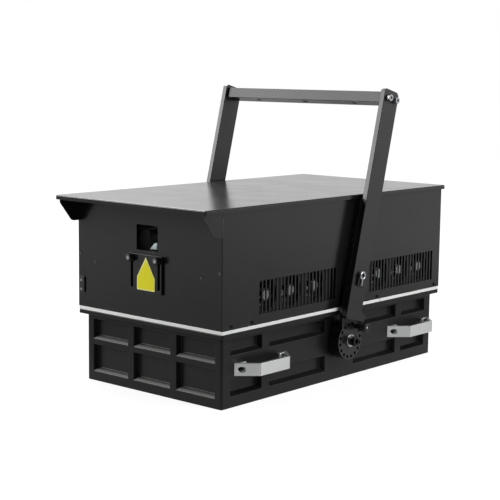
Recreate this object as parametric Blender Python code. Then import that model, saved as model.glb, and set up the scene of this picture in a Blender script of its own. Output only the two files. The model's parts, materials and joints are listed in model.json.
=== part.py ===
# Laser light projector on a hinged yoke, in metres, +Z up.
# The origin is the middle of the tray's underside. The beam leaves towards -Y.
import math

import bmesh
import bpy
from mathutils import Matrix, Vector
from mathutils.geometry import tessellate_polygon

# Clearance between pieces that touch
GAP = 0.0003

# Housing
HOUSING_WIDTH = 0.360
HOUSING_LENGTH = 0.664
TRAY_HEIGHT = 0.126
RIM_HEIGHT = 0.0074
SEAL_HEIGHT = 0.0062
HOOD_HEIGHT = 0.2088
SHEET = 0.002

# Tray
TRAY_INSET_SIDE = 0.011
TRAY_INSET_END = 0.0115
TRAY_WALL = 0.014
TRAY_FLOOR = 0.004
TRAY_CORNER = 0.004
POCKET_DEPTH = 0.0105
POCKET_DRAFT = 0.003
LEDGE_DRAFT = 0.006
FRONT_POCKET_COLUMNS = 3
FRONT_POCKET_MARGIN = 0.0162
FRONT_RIB = 0.0148
FRONT_ROW_FOOT = 0.018
FRONT_ROW_RIB = 0.0105
FRONT_UPPER_ROW = 0.0375
FRONT_ROW_HEAD = 0.009
SIDE_ROW_FOOT = 0.020
SIDE_LOWER_ROW = 0.030
SIDE_UPPER_ROW = 0.026
SIDE_ROW_HEAD = 0.008
SIDE_RIB = 0.020
SIDE_RIB_INSET = 0.1155
PIVOT_LAND = 0.044
SIDE_END_MARGIN = 0.0225

# Seal
SEAL_WIDTH = 0.008
SEAL_JOINT = 0.0013
SEAL_JOINT_PLACE = 0.1257

# Top cover, with its visor and cheeks
TOP_SHEET = 0.003
VISOR_OVERHANG = 0.0499
REAR_OVERHANG = 0.0044
SIDE_OVERHANG = 0.0057
LIP_DROP = 0.008
LIP_SHEET = 0.002
LIP_BEND = 0.0022
COVER_CORNER = 0.003
CHEEK_DROP = 0.0492
CHEEK_REACH = 0.0447
CHEEK_FOOT = 0.0167
CHEEK_FILLET = 0.011
CHEEK_LIP = 0.014

# Side grilles, as long as a bank of fans; the rest of the length is shared out
# before, between and behind them in these proportions
GRILLE_END = 0.010
GRILLE_SHORTFALL = 0.0008
GRILLE_BOTTOM = 0.0168
GRILLE_SPACING = (95, 106, 27)
SLOT_WIDTH = 0.0066
SLOT_PITCH = 0.0101

# Fans behind the right-hand grilles, in banks shifted towards the housing's ends
FAN_STEPS = (-1, 0, 1)
FAN_SHIFTS = (-0.0079, 0.0080)
FAN_SIZE = 0.060
FAN_SPACE = 0.009
FAN_DEPTH = 0.015
FAN_WALL = 0.0015
FAN_HUB = 0.0125
FAN_BLADES = 7
FAN_BLADE = 0.0011
FAN_BLADE_ROOT = 0.0022
FAN_TIP_CLEARANCE = 0.0012
FAN_SPIDER = 0.0025
SHROUD_DEPTH = 0.0092
SHROUD_WALL = 0.0025
SHROUD_MARGIN = 0.0012
CARRIER_SHEET = 0.0012

# Front panel
APERTURE_WIDTH = 0.053
APERTURE_HEIGHT = 0.045
APERTURE_CENTRE = 0.1427
WINDOW_MARGIN = 0.005
WINDOW_THICKNESS = 0.003
MASK_WIDTH = 0.080
MASK_HEIGHT = 0.068
MASK_BOTTOM = 0.0453
MASK_STAND = 0.0045
MASK_SHEET = 0.002
MASK_SLOT_PLACE = 0.0335
MASK_SLOT_WIDTH = 0.0060
MASK_TRAVEL = 0.050
MASK_SLOT_MARGIN = 0.0045
THUMB_SHANK = 0.0025
THUMB_KNOB = 0.0070
THUMB_LENGTH = 0.009
THUMB_STANDOFF = 0.0016
EDGE_COVER_SIZE = (0.014, 0.030)
EDGE_COVER_INSET = 0.011
EDGE_COVER_HEIGHT = 0.0411
EDGE_COVER_THICKNESS = 0.0025

# Yoke, in its own frame: X across, Y towards the rear edge, Z along the legs
PIVOT_Y = 0.011
PIVOT_DROP = 0.050
YOKE_LEAN = math.radians(14.3)
LEG_LENGTH = 0.4765
LEG_WIDTH = 0.046
LEG_THICKNESS = 0.0097
LEG_CLEARANCE = 0.0143
LEG_TOP_CHAMFER = 0.004
LEG_LEAD = 0.0385
LEG_FOOT = 0.0384
LEG_FOOT_CORNER = 0.0045
LEG_EAR = 0.0135
LEG_EAR_HEIGHT = 0.0115
CROSSBAR_HEIGHT = 0.020
CROSSBAR_DROP = 0.006
CROSSBAR_INSET = 0.006
CROSSBAR_HOLE = 0.0055
CROSSBAR_HOLE_PLACES = (-0.120, 0.0, 0.120)
YOKE_SCREW_PITCH = 0.022
YOKE_SCREW_SHANK = 0.004
YOKE_SCREW_HEAD = 0.0065
YOKE_SCREW_HEAD_LENGTH = 0.008
YOKE_SCREW_LOW_HEAD = 0.0018
YOKE_SCREW_REACH = 0.018

# Index plate, its holes and the pull knob that locks it
INDEX_RADIUS = 0.0363
INDEX_THICKNESS = 0.006
INDEX_HOLES = 16
INDEX_RING = 0.0307
INDEX_HOLE = 0.0031
INDEX_TONGUE = 0.105
INDEX_THROAT = 0.045
INDEX_SHOULDER = math.radians(300)
BOSS_RADIUS = 0.0352
BOSS_HOLE = 0.0033
PIN_RADIUS = 0.0024
PIN_TRAVEL = 0.008
BARREL_RADIUS = 0.0047
BARREL_LENGTH = 0.009
KNOB_RADIUS = 0.0083
KNOB_LENGTH = 0.0175
KNOB_SOCKET = 0.0095

# Pivot bolt
BOLT_SHANK = 0.006
BOLT_WASHER = 0.012
BOLT_WASHER_THICKNESS = 0.0025
BOLT_HEAD = 0.0088
BOLT_HEAD_LENGTH = 0.0125
BOLT_SOCKET = 0.005
BOLT_SOCKET_DEPTH = 0.006
BORE_CLEARANCE = 0.0004

# Safety eye on the right leg
EYE_PLATE = (0.030, 0.024)
EYE_PLATE_PLACE = (-0.011, 0.115)
EYE_PLATE_THICKNESS = 0.004
EYE_RING = 0.0062
EYE_WIRE = 0.0021
EYE_PLACE = (-0.017, 0.123)
EYE_STEM = 0.0195

# Carrying handles
HANDLE_INSETS = (0.114, 0.094)
HANDLE_FOOT_SPAN = 0.142
HANDLE_GRIP_SPAN = 0.078
HANDLE_STAND = 0.034
HANDLE_STRAP = 0.022
HANDLE_THICKNESS = 0.0055
HANDLE_FOOT = 0.026
HANDLE_LIFT = 0.0165
HANDLE_HOLE = (0.0095, 0.014)
HANDLE_HOLE_PLACE = 0.285
HANDLE_CHAMFER = 0.001

# Inside; an inset is from the housing's side, then from its end
CHASSIS_INSET = (0.012, 0.022)
CHASSIS_SHEET = 0.003
SINK_INSET = (0.045, 0.092)
SINK_HEIGHT = 0.0884
SINK_FINS = 13
SINK_FIN = 0.005
DECK_INSET = (0.035, 0.024)
DECK_THICKNESS = 0.010
LASER_SIZE = (0.100, 0.120, 0.056)
LASER_SNOUT = 0.008
LASER_PITCH = 0.135
BEAM_X = 0.060
MIRROR_PLATE = (0.024, 0.003, 0.026)
MIRROR_FOOT = 0.005
SUPPLY_SIZE = (0.220, 0.240, 0.050)
SUPPLY_PLACE = 0.130
BOARD_SIZE = (0.200, 0.160, 0.0016)
STANDOFF = 0.004
GALVO_MOTOR = 0.009
GALVO_MOTOR_LENGTH = 0.036
GALVO_SHAFT = 0.0015
GALVO_MIRROR = (0.012, 0.009, 0.0014)
GALVO_NECK = 0.004
GALVO_CLAMP = 0.022
GALVO_FRONT = 0.028

# Rear panel
INLET_SIZE = (0.030, 0.023)
INLET_WALL = 0.003
INLET_DEPTH = 0.019
REAR_PLATE_HEIGHT = 0.031
REAR_PLATE_MARGIN = 0.022
INLET_PLACE = (0.128, 0.060)
SWITCH_SIZE = (0.026, 0.020)
SWITCH_WALL = 0.0025
SWITCH_DEPTH = 0.012
SWITCH_TILT = math.radians(12)
SWITCH_PLACE = (0.080, 0.060)
KEY_RADIUS = 0.0095
KEY_BORE = 0.006
KEY_DEPTH = 0.016
KEY_SEAT = 0.004
KEY_PLACE = (0.036, 0.060)
SOCKET_RADIUS = 0.012
SOCKET_BORE = 0.0095
SOCKET_DEPTH = 0.018
SOCKET_PLACES = ((-0.030, 0.145), (-0.075, 0.145))
DATA_PLACE = (-0.125, 0.145)
DATA_SHELL = (0.039, 0.0083)
DISPLAY_SIZE = (0.072, 0.028)
DISPLAY_PLACE = (0.090, 0.148)
BUTTON_RADIUS = 0.0045
BUTTON_PITCH = 0.019
BUTTON_DROP = 0.030
BUTTON_TRAVEL = 0.0012
BUTTON_PROUD = 0.0035
FLANGE_SHEET = 0.002

# Places worked out from the sizes
HALF_WIDTH = HOUSING_WIDTH / 2
HALF_LENGTH = HOUSING_LENGTH / 2
FRONT = -HALF_LENGTH
TRAY_HALF_WIDTH = HALF_WIDTH - TRAY_INSET_SIDE
TRAY_HALF_LENGTH = HALF_LENGTH - TRAY_INSET_END
SIDE_RIB_PLACE = TRAY_HALF_LENGTH - SIDE_RIB_INSET
FRONT_ROW_SPLIT = TRAY_HEIGHT - FRONT_ROW_HEAD - FRONT_UPPER_ROW
FRONT_POCKET_ROWS = (
    (FRONT_ROW_FOOT, FRONT_ROW_SPLIT - FRONT_ROW_RIB), (FRONT_ROW_SPLIT, TRAY_HEIGHT - FRONT_ROW_HEAD)
)
SIDE_ROW_TOP = TRAY_HEIGHT - SIDE_ROW_HEAD
SIDE_POCKET_ROWS = (
    (SIDE_ROW_FOOT, SIDE_ROW_FOOT + SIDE_LOWER_ROW), (SIDE_ROW_TOP - SIDE_UPPER_ROW, SIDE_ROW_TOP)
)
SEAL_BOTTOM = TRAY_HEIGHT + RIM_HEIGHT + GAP
HOOD_BOTTOM = SEAL_BOTTOM + SEAL_HEIGHT + GAP
HOOD_TOP = HOOD_BOTTOM + HOOD_HEIGHT
PANEL_TOP = HOOD_TOP - TOP_SHEET - GAP
PANEL_INSIDE = HALF_WIDTH - SHEET
FAN_PITCH = FAN_SIZE + FAN_SPACE
FAN_BORE = FAN_SIZE / 2 - FAN_WALL
GRILLE_LENGTH = FAN_SIZE + FAN_PITCH * (len(FAN_STEPS) - 1) + 2 * GRILLE_END
GRILLE_HEIGHT = FAN_SIZE - GRILLE_SHORTFALL
GRILLE_SPARE = (HOUSING_LENGTH - 2 * GRILLE_LENGTH) / sum(GRILLE_SPACING)
GRILLE_CENTRES = (
    -HALF_LENGTH + GRILLE_SPARE * GRILLE_SPACING[0] + GRILLE_LENGTH / 2,
    HALF_LENGTH - GRILLE_SPARE * GRILLE_SPACING[2] - GRILLE_LENGTH / 2,
)
FAN_CENTRES = [centre + shift for centre, shift in zip(GRILLE_CENTRES, FAN_SHIFTS)]
PIVOT_Z = TRAY_HEIGHT - PIVOT_DROP
LEG_INNER = HALF_WIDTH + LEG_CLEARANCE
LEG_FRONT = -LEG_LEAD
LEG_REAR = LEG_FRONT + LEG_WIDTH
LEG_MIDDLE = (LEG_FRONT + LEG_REAR) / 2
LEG_OUTER = LEG_INNER + LEG_THICKNESS
PLATE_OUTER = LEG_INNER - GAP
PLATE_INNER = PLATE_OUTER - INDEX_THICKNESS
HOLE_STEP = 2 * math.pi / INDEX_HOLES
HANDLE_PLACES = (-HALF_LENGTH + HANDLE_INSETS[0], HALF_LENGTH - HANDLE_INSETS[1])
HANDLE_HEIGHT = SIDE_ROW_FOOT + SIDE_LOWER_ROW + HANDLE_LIFT
CHASSIS_BOTTOM = TRAY_HEIGHT + RIM_HEIGHT + GAP
SINK_BOTTOM = CHASSIS_BOTTOM + CHASSIS_SHEET + GAP
DECK_BOTTOM = SINK_BOTTOM + SINK_HEIGHT
DECK_TOP = DECK_BOTTOM + DECK_THICKNESS
BEAM_HEIGHT = HOOD_BOTTOM + APERTURE_CENTRE
LASER_HEIGHT = DECK_TOP + GAP + LASER_SIZE[2] * 0.55


def material(name, colour, roughness, metallic=0.0):
    """A Principled material with one colour."""
    made = bpy.data.materials.new(name)
    made.use_nodes = True
    shader = made.node_tree.nodes["Principled BSDF"]
    shader.inputs["Base Color"].default_value = (*colour, 1.0)
    shader.inputs["Roughness"].default_value = roughness
    shader.inputs["Metallic"].default_value = metallic
    return made


def finish(name, bm, look, location=(0, 0, 0), parent=None, smooth=None):
    """Turns a bmesh into a named object with its faces pointing out."""
    bmesh.ops.recalc_face_normals(bm, faces=bm.faces[:])
    mesh = bpy.data.meshes.new(name)
    bm.to_mesh(mesh)
    bm.free()
    return place(name, mesh, look, location, parent, smooth)


def place(name, mesh, look, location=(0, 0, 0), parent=None, smooth=None):
    """Puts a mesh in the scene under a name, a material and a parent."""
    if not mesh.materials:
        mesh.materials.append(look)
    if smooth is not None:
        mesh.shade_smooth()
        mesh.set_sharp_from_angle(angle=math.radians(smooth))
    made = bpy.data.objects.new(name, mesh)
    bpy.context.scene.collection.objects.link(made)
    made.location = location
    made.parent = parent
    return made


def empty(name, location, turn=(0, 0, 0)):
    """An empty that carries the pieces of one joint."""
    made = bpy.data.objects.new(name, None)
    bpy.context.scene.collection.objects.link(made)
    made.location = location
    made.rotation_euler = turn
    return made


def combine(target, tool, operation, solver="EXACT"):
    """Cuts or welds a helper into a piece; the helper itself is not a piece."""
    tool.hide_render = True
    tool.display_type = "WIRE"
    step = target.modifiers.new(operation.lower(), "BOOLEAN")
    step.operation = operation
    step.solver = solver
    step.object = tool


def evaluated_mesh(source):
    """The plain mesh of an object after its modifiers."""
    bpy.context.view_layer.update()
    graph = bpy.context.evaluated_depsgraph_get()
    return bpy.data.meshes.new_from_object(source.evaluated_get(graph))


def along_x(a, b, h):
    return Vector((h, a, b))


def along_y(a, b, h):
    return Vector((a, h, b))


def along_z(a, b, h):
    return Vector((a, b, h))


def prism(bm, loops, low, high, way):
    """A closed solid between two planes: an outline, then any holes in it."""
    rings = []
    for loop in loops:
        bottom = [bm.verts.new(way(a, b, low)) for a, b in loop]
        top = [bm.verts.new(way(a, b, high)) for a, b in loop]
        rings.append((bottom, top))
        count = len(loop)
        for i in range(count):
            j = (i + 1) % count
            bm.faces.new((bottom[i], bottom[j], top[j], top[i]))
    flat = [[Vector((a, b, 0)) for a, b in loop] for loop in loops]
    bottoms = [v for bottom, _ in rings for v in bottom]
    tops = [v for _, top in rings for v in top]
    if len(loops) == 1:
        bm.faces.new(bottoms)
        bm.faces.new(tops)
    else:
        for triangle in tessellate_polygon(flat):
            bm.faces.new([bottoms[i] for i in triangle])
            bm.faces.new([tops[i] for i in triangle])
    return bm


def lathe(bm, profile, segments, way, centre=(0.0, 0.0), phase=0.0):
    """A turned solid; profile points are (radius, place along the axis)."""
    rings = []
    for radius, along in profile:
        if radius == 0:
            rings.append([bm.verts.new(way(centre[0], centre[1], along))])
            continue
        ring = []
        for a, b in circle(radius, segments, centre, phase):
            ring.append(bm.verts.new(way(a, b, along)))
        rings.append(ring)
    for near, far in zip(rings, rings[1:]):
        for i in range(segments):
            j = (i + 1) % segments
            if len(near) == 1:
                bm.faces.new((near[0], far[i], far[j]))
            elif len(far) == 1:
                bm.faces.new((near[i], far[0], near[j]))
            else:
                bm.faces.new((near[i], near[j], far[j], far[i]))
    return bm


def loft(bm, rings, centre=(0.0, 0.0)):
    """A closed shell through level rings (half x, half y, corner radius, z)."""
    made = []
    for half_x, half_y, corner, z in rings:
        outline = rounded(2 * half_x, 2 * half_y, corner, centre)
        made.append([bm.verts.new((x, y, z)) for x, y in outline])
    for low, high in zip(made, made[1:]):
        for i in range(len(low)):
            j = (i + 1) % len(low)
            bm.faces.new((low[i], low[j], high[j], high[i]))
    bm.faces.new(made[0])
    bm.faces.new(made[-1])
    return bm


def circle(radius, count, centre=(0.0, 0.0), phase=0.0):
    """Points of a circle."""
    turn = 2 * math.pi / count
    return [
        (centre[0] + radius * math.cos(phase + turn * i), centre[1] + radius * math.sin(phase + turn * i))
        for i in range(count)
    ]


def arc(radius, start, end, steps, centre=(0.0, 0.0)):
    """Points of an arc, both ends included; angles in radians."""
    return [
        (
            centre[0] + radius * math.cos(start + (end - start) * i / steps),
            centre[1] + radius * math.sin(start + (end - start) * i / steps),
        )
        for i in range(steps + 1)
    ]


def rounded(width, height, radius, centre=(0.0, 0.0), steps=3):
    """A rectangle with round corners."""
    across, up = width / 2 - radius, height / 2 - radius
    points = []
    for turn, (sign_a, sign_b) in enumerate(((1, 1), (-1, 1), (-1, -1), (1, -1))):
        corner = (centre[0] + sign_a * across, centre[1] + sign_b * up)
        start = turn * math.pi / 2
        points += arc(radius, start, start + math.pi / 2, steps, corner)
    return points


def rectangle(low_a, high_a, low_b, high_b):
    """A plain rectangle from its limits."""
    return [(low_a, low_b), (high_a, low_b), (high_a, high_b), (low_a, high_b)]


def obround(width, height, centre=(0.0, 0.0), steps=5):
    """A slot with round ends above and below."""
    radius = width / 2
    up = height / 2 - radius
    top = arc(radius, 0, math.pi, steps, (centre[0], centre[1] + up))
    bottom = arc(radius, math.pi, 2 * math.pi, steps, (centre[0], centre[1] - up))
    return top + bottom


def box(bm, low, high):
    """A rectangular solid between two corners."""
    return prism(bm, [rectangle(low[0], high[0], low[1], high[1])], low[2], high[2], along_z)


def frustum(bm, outer, inner):
    """A drafted pocket cutter: the mouth's four corners, then the floor's."""
    mouth = [bm.verts.new(p) for p in outer]
    floor = [bm.verts.new(p) for p in inner]
    for i in range(4):
        j = (i + 1) % 4
        bm.faces.new((mouth[i], mouth[j], floor[j], floor[i]))
    bm.faces.new(mouth)
    bm.faces.new(floor)


def wall_pocket(bm, wall, side, low, high, bottom, top):
    """Adds one drafted pocket cutter to a tray wall; wall is x or y."""
    face = TRAY_HALF_WIDTH if wall == "x" else TRAY_HALF_LENGTH
    proud = 0.002
    slope = POCKET_DRAFT / POCKET_DEPTH
    ledge = LEDGE_DRAFT / POCKET_DEPTH

    def corners(depth):
        grow = -slope * depth
        a0, a1 = low - grow, high + grow
        b0, b1 = bottom + ledge * depth, top + grow
        place_ = side * (face - depth)
        flat = ((a0, b0), (a1, b0), (a1, b1), (a0, b1))
        if wall == "x":
            return [(place_, a, b) for a, b in flat]
        return [(a, place_, b) for a, b in flat]

    frustum(bm, corners(-proud), corners(POCKET_DEPTH))


def front_pocket_columns():
    """Limits of the columns of pockets on the front and rear walls."""
    first = -TRAY_HALF_WIDTH + FRONT_POCKET_MARGIN
    pitch = (FRONT_RIB - 2 * first) / FRONT_POCKET_COLUMNS
    starts = [first + pitch * i for i in range(FRONT_POCKET_COLUMNS)]
    return [(start, start + pitch - FRONT_RIB) for start in starts]


def side_pocket_columns():
    """Limits of the columns of pockets on the side walls, clear of the pivot."""
    end = TRAY_HALF_LENGTH - SIDE_END_MARGIN
    rib = SIDE_RIB / 2
    return [
        (-end, -SIDE_RIB_PLACE - rib),
        (-SIDE_RIB_PLACE + rib, PIVOT_Y - PIVOT_LAND),
        (PIVOT_Y + PIVOT_LAND, SIDE_RIB_PLACE - rib),
        (SIDE_RIB_PLACE + rib, end),
    ]


def make_tray(look):
    """The lower case: a deep tray with a rim and drafted pockets all round."""
    inner_x = TRAY_HALF_WIDTH - TRAY_WALL
    inner_y = TRAY_HALF_LENGTH - TRAY_WALL
    rim_top = TRAY_HEIGHT + RIM_HEIGHT
    bm = bmesh.new()
    loft(bm, [
        (TRAY_HALF_WIDTH, TRAY_HALF_LENGTH, TRAY_CORNER, 0.0),
        (TRAY_HALF_WIDTH, TRAY_HALF_LENGTH, TRAY_CORNER, TRAY_HEIGHT),
        (HALF_WIDTH, HALF_LENGTH, COVER_CORNER, TRAY_HEIGHT),
        (HALF_WIDTH, HALF_LENGTH, COVER_CORNER, rim_top),
        (inner_x, inner_y, TRAY_CORNER, rim_top),
        (inner_x, inner_y, TRAY_CORNER, TRAY_FLOOR),
    ])
    tray = finish("base_tray", bm, look)
    cuts = bmesh.new()
    for side in (-1, 1):
        for low, high in front_pocket_columns():
            for bottom, top in FRONT_POCKET_ROWS:
                wall_pocket(cuts, "y", side, low, high, bottom, top)
        for low, high in side_pocket_columns():
            for bottom, top in SIDE_POCKET_ROWS:
                wall_pocket(cuts, "x", side, low, high, bottom, top)
    combine(tray, finish("tray_pockets_cutter", cuts, look), "DIFFERENCE")


def make_seal(look):
    """The pale seal between tray and hood, one strip with a butt joint."""
    edge = 0.0005
    outer_x, outer_y = HALF_WIDTH - edge, HALF_LENGTH - edge
    inner_x, inner_y = outer_x - SEAL_WIDTH, outer_y - SEAL_WIDTH
    cut = SEAL_JOINT_PLACE
    near, far = cut - SEAL_JOINT / 2, cut + SEAL_JOINT / 2
    outline = [
        (outer_x, far), (outer_x, outer_y), (-outer_x, outer_y), (-outer_x, -outer_y),
        (outer_x, -outer_y), (outer_x, near), (inner_x, near), (inner_x, -inner_y),
        (-inner_x, -inner_y), (-inner_x, inner_y), (inner_x, inner_y), (inner_x, far),
    ]
    bm = prism(bmesh.new(), [outline], SEAL_BOTTOM, SEAL_BOTTOM + SEAL_HEIGHT, along_z)
    finish("seal_gasket", bm, look)


def cheek_outline():
    """Side view of a cheek: a sloping front edge that sweeps into a short foot."""
    top = HOOD_TOP - TOP_SHEET + 0.001
    rear = FRONT - GAP
    tip = FRONT - CHEEK_REACH
    corner = FRONT - CHEEK_FOOT
    bottom = HOOD_TOP - CHEEK_DROP
    tip_height = HOOD_TOP - CHEEK_LIP
    slope = math.atan2(tip_height - bottom, corner - tip)
    centre = (corner + CHEEK_FILLET * math.tan(slope / 2), bottom + CHEEK_FILLET)
    level = -math.pi / 2
    bend = arc(CHEEK_FILLET, level - slope, level, 5, centre)
    return [(rear, top), (tip, top), (tip, tip_height)] + bend + [(rear, bottom)]


def make_top_cover(look):
    """The top plate, bent down all round, with a visor and two cheeks in front."""
    half_x = HALF_WIDTH + SIDE_OVERHANG
    front = FRONT - VISOR_OVERHANG
    rear = HALF_LENGTH + REAR_OVERHANG
    half_y = (rear - front) / 2
    centre = (0.0, (rear + front) / 2)
    under = HOOD_TOP - TOP_SHEET
    lip = HOOD_TOP - LIP_DROP
    inner = LIP_SHEET
    rings = [
        (half_x - inner, half_y - inner, COVER_CORNER - inner / 2, under),
        (half_x - inner, half_y - inner, COVER_CORNER - inner / 2, lip),
        (half_x, half_y, COVER_CORNER, lip),
    ]
    for step in range(4):
        turn = math.pi / 2 * step / 3
        inset = LIP_BEND * (1 - math.cos(turn))
        rise = LIP_BEND * math.sin(turn)
        corner = COVER_CORNER - inset * 0.8
        rings.append((half_x - inset, half_y - inset, corner, HOOD_TOP - LIP_BEND + rise))
    cover = finish("top_cover", loft(bmesh.new(), rings, centre), look)
    for side in (-1, 1):
        bm = bmesh.new()
        near, far = sorted((side * PANEL_INSIDE, side * HALF_WIDTH))
        prism(bm, [cheek_outline()], near, far, along_x)
        combine(cover, finish("cheek_helper", bm, look), "UNION")


def grille_slots():
    """Outlines of the vertical slots of both grilles, in Y and Z."""
    bottom = HOOD_BOTTOM + GRILLE_BOTTOM
    gaps = round((GRILLE_LENGTH - SLOT_WIDTH) / SLOT_PITCH)
    pitch = (GRILLE_LENGTH - SLOT_WIDTH) / gaps
    slots = []
    for middle in GRILLE_CENTRES:
        first = middle - pitch * gaps / 2
        for i in range(gaps + 1):
            y = first + pitch * i
            slots.append(rectangle(y - SLOT_WIDTH / 2, y + SLOT_WIDTH / 2, bottom, bottom + GRILLE_HEIGHT))
    return slots


def make_side_panel(name, side, look):
    """One side wall of the hood, with its two slotted grilles."""
    outline = rectangle(-HALF_LENGTH + GAP, HALF_LENGTH - GAP, HOOD_BOTTOM, PANEL_TOP)
    near, far = sorted((side * PANEL_INSIDE, side * HALF_WIDTH))
    finish(name, prism(bmesh.new(), [outline] + grille_slots(), near, far, along_x), look)


def thumb_height():
    """Height of the thumb screws: the top end of the mask's slots at rest."""
    return HOOD_BOTTOM + MASK_BOTTOM + MASK_HEIGHT - MASK_SLOT_MARGIN - MASK_SLOT_WIDTH / 2


def make_front_panel(look):
    """The front wall, with the beam aperture and the thumb screws' holes."""
    half = PANEL_INSIDE - GAP
    outline = rectangle(-half, half, HOOD_BOTTOM, PANEL_TOP)
    aperture = rounded(APERTURE_WIDTH, APERTURE_HEIGHT, 0.0015, (0, BEAM_HEIGHT), 2)
    holes = [
        circle(THUMB_SHANK + BORE_CLEARANCE, 10, (side * MASK_SLOT_PLACE, thumb_height()))
        for side in (-1, 1)
    ]
    bm = prism(bmesh.new(), [outline, aperture] + holes, FRONT, FRONT + SHEET, along_y)
    finish("front_panel", bm, look)


def make_window(look):
    """The pane behind the aperture."""
    outline = rounded(
        APERTURE_WIDTH + 2 * WINDOW_MARGIN, APERTURE_HEIGHT + 2 * WINDOW_MARGIN, 0.002, (0, BEAM_HEIGHT), 2
    )
    near = FRONT + SHEET + GAP
    finish("exit_window", prism(bmesh.new(), [outline], near, near + WINDOW_THICKNESS, along_y), look)


def make_mask(look):
    """The sliding mask: a folded pan with two slots, on its own slide."""
    bottom = HOOD_BOTTOM + MASK_BOTTOM
    back = FRONT - GAP
    face = back - MASK_STAND
    inner = face + MASK_SHEET
    half = MASK_WIDTH / 2
    section = [
        (-half, back), (-half, face), (half, face), (half, back),
        (half - MASK_SHEET, back), (half - MASK_SHEET, inner),
        (-half + MASK_SHEET, inner), (-half + MASK_SHEET, back),
    ]
    slide = empty("mask_slide", (0, FRONT, bottom))
    local = [(a, b - FRONT) for a, b in section]
    plate = finish("mask_plate", prism(bmesh.new(), [local], 0, MASK_HEIGHT, along_z), look, parent=slide)
    slot_top = MASK_HEIGHT - MASK_SLOT_MARGIN
    slot_height = MASK_TRAVEL + MASK_SLOT_WIDTH
    cuts = bmesh.new()
    for side in (-1, 1):
        middle = (side * MASK_SLOT_PLACE, slot_top - slot_height / 2)
        slot = obround(MASK_SLOT_WIDTH, slot_height + 0.001, middle, 4)
        prism(cuts, [slot], face - FRONT - 0.001, 0.0, along_y)
    combine(plate, finish("mask_slots_cutter", cuts, look, parent=slide), "DIFFERENCE")


def make_thumb_screw(name, side, look):
    """A thumb screw through a slot of the mask into the front panel."""
    face = -GAP - MASK_STAND - THUMB_STANDOFF
    end = face - THUMB_LENGTH
    tail = SHEET
    edge = 0.001
    profile = [
        (0, tail), (THUMB_SHANK, tail), (THUMB_SHANK, face), (THUMB_KNOB, face),
        (THUMB_KNOB, end + edge), (THUMB_KNOB - edge, end), (0, end),
    ]
    bm = lathe(bmesh.new(), profile, 12, along_y)
    finish(name, bm, look, (side * MASK_SLOT_PLACE, FRONT, thumb_height()), smooth=40)


def make_edge_cover(look):
    """A small blanking cover at the front panel's left edge."""
    width, height = EDGE_COVER_SIZE
    outline = rounded(width, height, 0.002, (0, 0), 2)
    far = -GAP
    bm = prism(bmesh.new(), [outline], far - EDGE_COVER_THICKNESS, far, along_y)
    finish("edge_cover", bm, look, (-HALF_WIDTH + EDGE_COVER_INSET, FRONT, HOOD_BOTTOM + EDGE_COVER_HEIGHT))


def fan_places():
    """Centres of the six fans, front bank first."""
    z = HOOD_BOTTOM + GRILLE_BOTTOM + GRILLE_HEIGHT / 2
    return [[(middle + FAN_PITCH * step, z) for step in FAN_STEPS] for middle in FAN_CENTRES]


def fan_face():
    """Outer face of the fan frames."""
    return PANEL_INSIDE - GAP - SHROUD_DEPTH - CARRIER_SHEET


def make_fan_carriers(look):
    """One carrier for each bank: three fan frames behind a sheet and a short duct."""
    outer = fan_face()
    inner = outer - FAN_DEPTH
    sheet = outer + CARRIER_SHEET
    arm = 0.0022
    weld = 0.0005
    z = HOOD_BOTTOM + GRILLE_BOTTOM + GRILLE_HEIGHT / 2
    duct_length = GRILLE_LENGTH + 2 * SHROUD_MARGIN
    duct_height = GRILLE_HEIGHT + 2 * SHROUD_MARGIN
    for name, middle, places in zip(("front", "rear"), GRILLE_CENTRES, fan_places()):
        ducts = [circle(FAN_BORE, 16, centre, math.pi / 16) for centre in places]
        outline = rounded(duct_length + 2 * SHROUD_WALL, duct_height + 2 * SHROUD_WALL, 0.004, (middle, z), 2)
        opening = rounded(duct_length, duct_height, 0.002, (middle, z), 2)
        bm = prism(bmesh.new(), [outline] + ducts, outer, sheet, along_x)
        carrier = finish("fan_carrier_" + name, bm, look)
        duct = prism(bmesh.new(), [outline, opening], sheet - weld, PANEL_INSIDE - GAP, along_x)
        combine(carrier, finish("fan_duct_helper", duct, look), "UNION", "MANIFOLD")
        frames, spiders = bmesh.new(), bmesh.new()
        for centre, bore in zip(places, ducts):
            square = rounded(FAN_SIZE, FAN_SIZE, 0.004, centre, 2)
            prism(frames, [square, bore], inner + FAN_SPIDER - weld, outer + weld, along_x)
            gaps = [fan_gap(centre, quarter, arm) for quarter in range(4)]
            prism(spiders, [square] + gaps, inner, inner + FAN_SPIDER, along_x)
        combine(carrier, finish("fan_frames_helper", frames, look), "UNION", "MANIFOLD")
        combine(carrier, finish("fan_spiders_helper", spiders, look), "UNION", "MANIFOLD")


def fan_gap(centre, quarter, arm):
    """One of the four openings between the arms of a fan's spider."""
    start = quarter * math.pi / 2
    lean = math.asin(arm / FAN_BORE)
    near = math.asin(arm / FAN_HUB)
    far_arc = arc(FAN_BORE, start + lean, start + math.pi / 2 - lean, 3, centre)
    near_arc = arc(FAN_HUB, start + math.pi / 2 - near, start + near, 1, centre)
    return far_arc + near_arc


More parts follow.
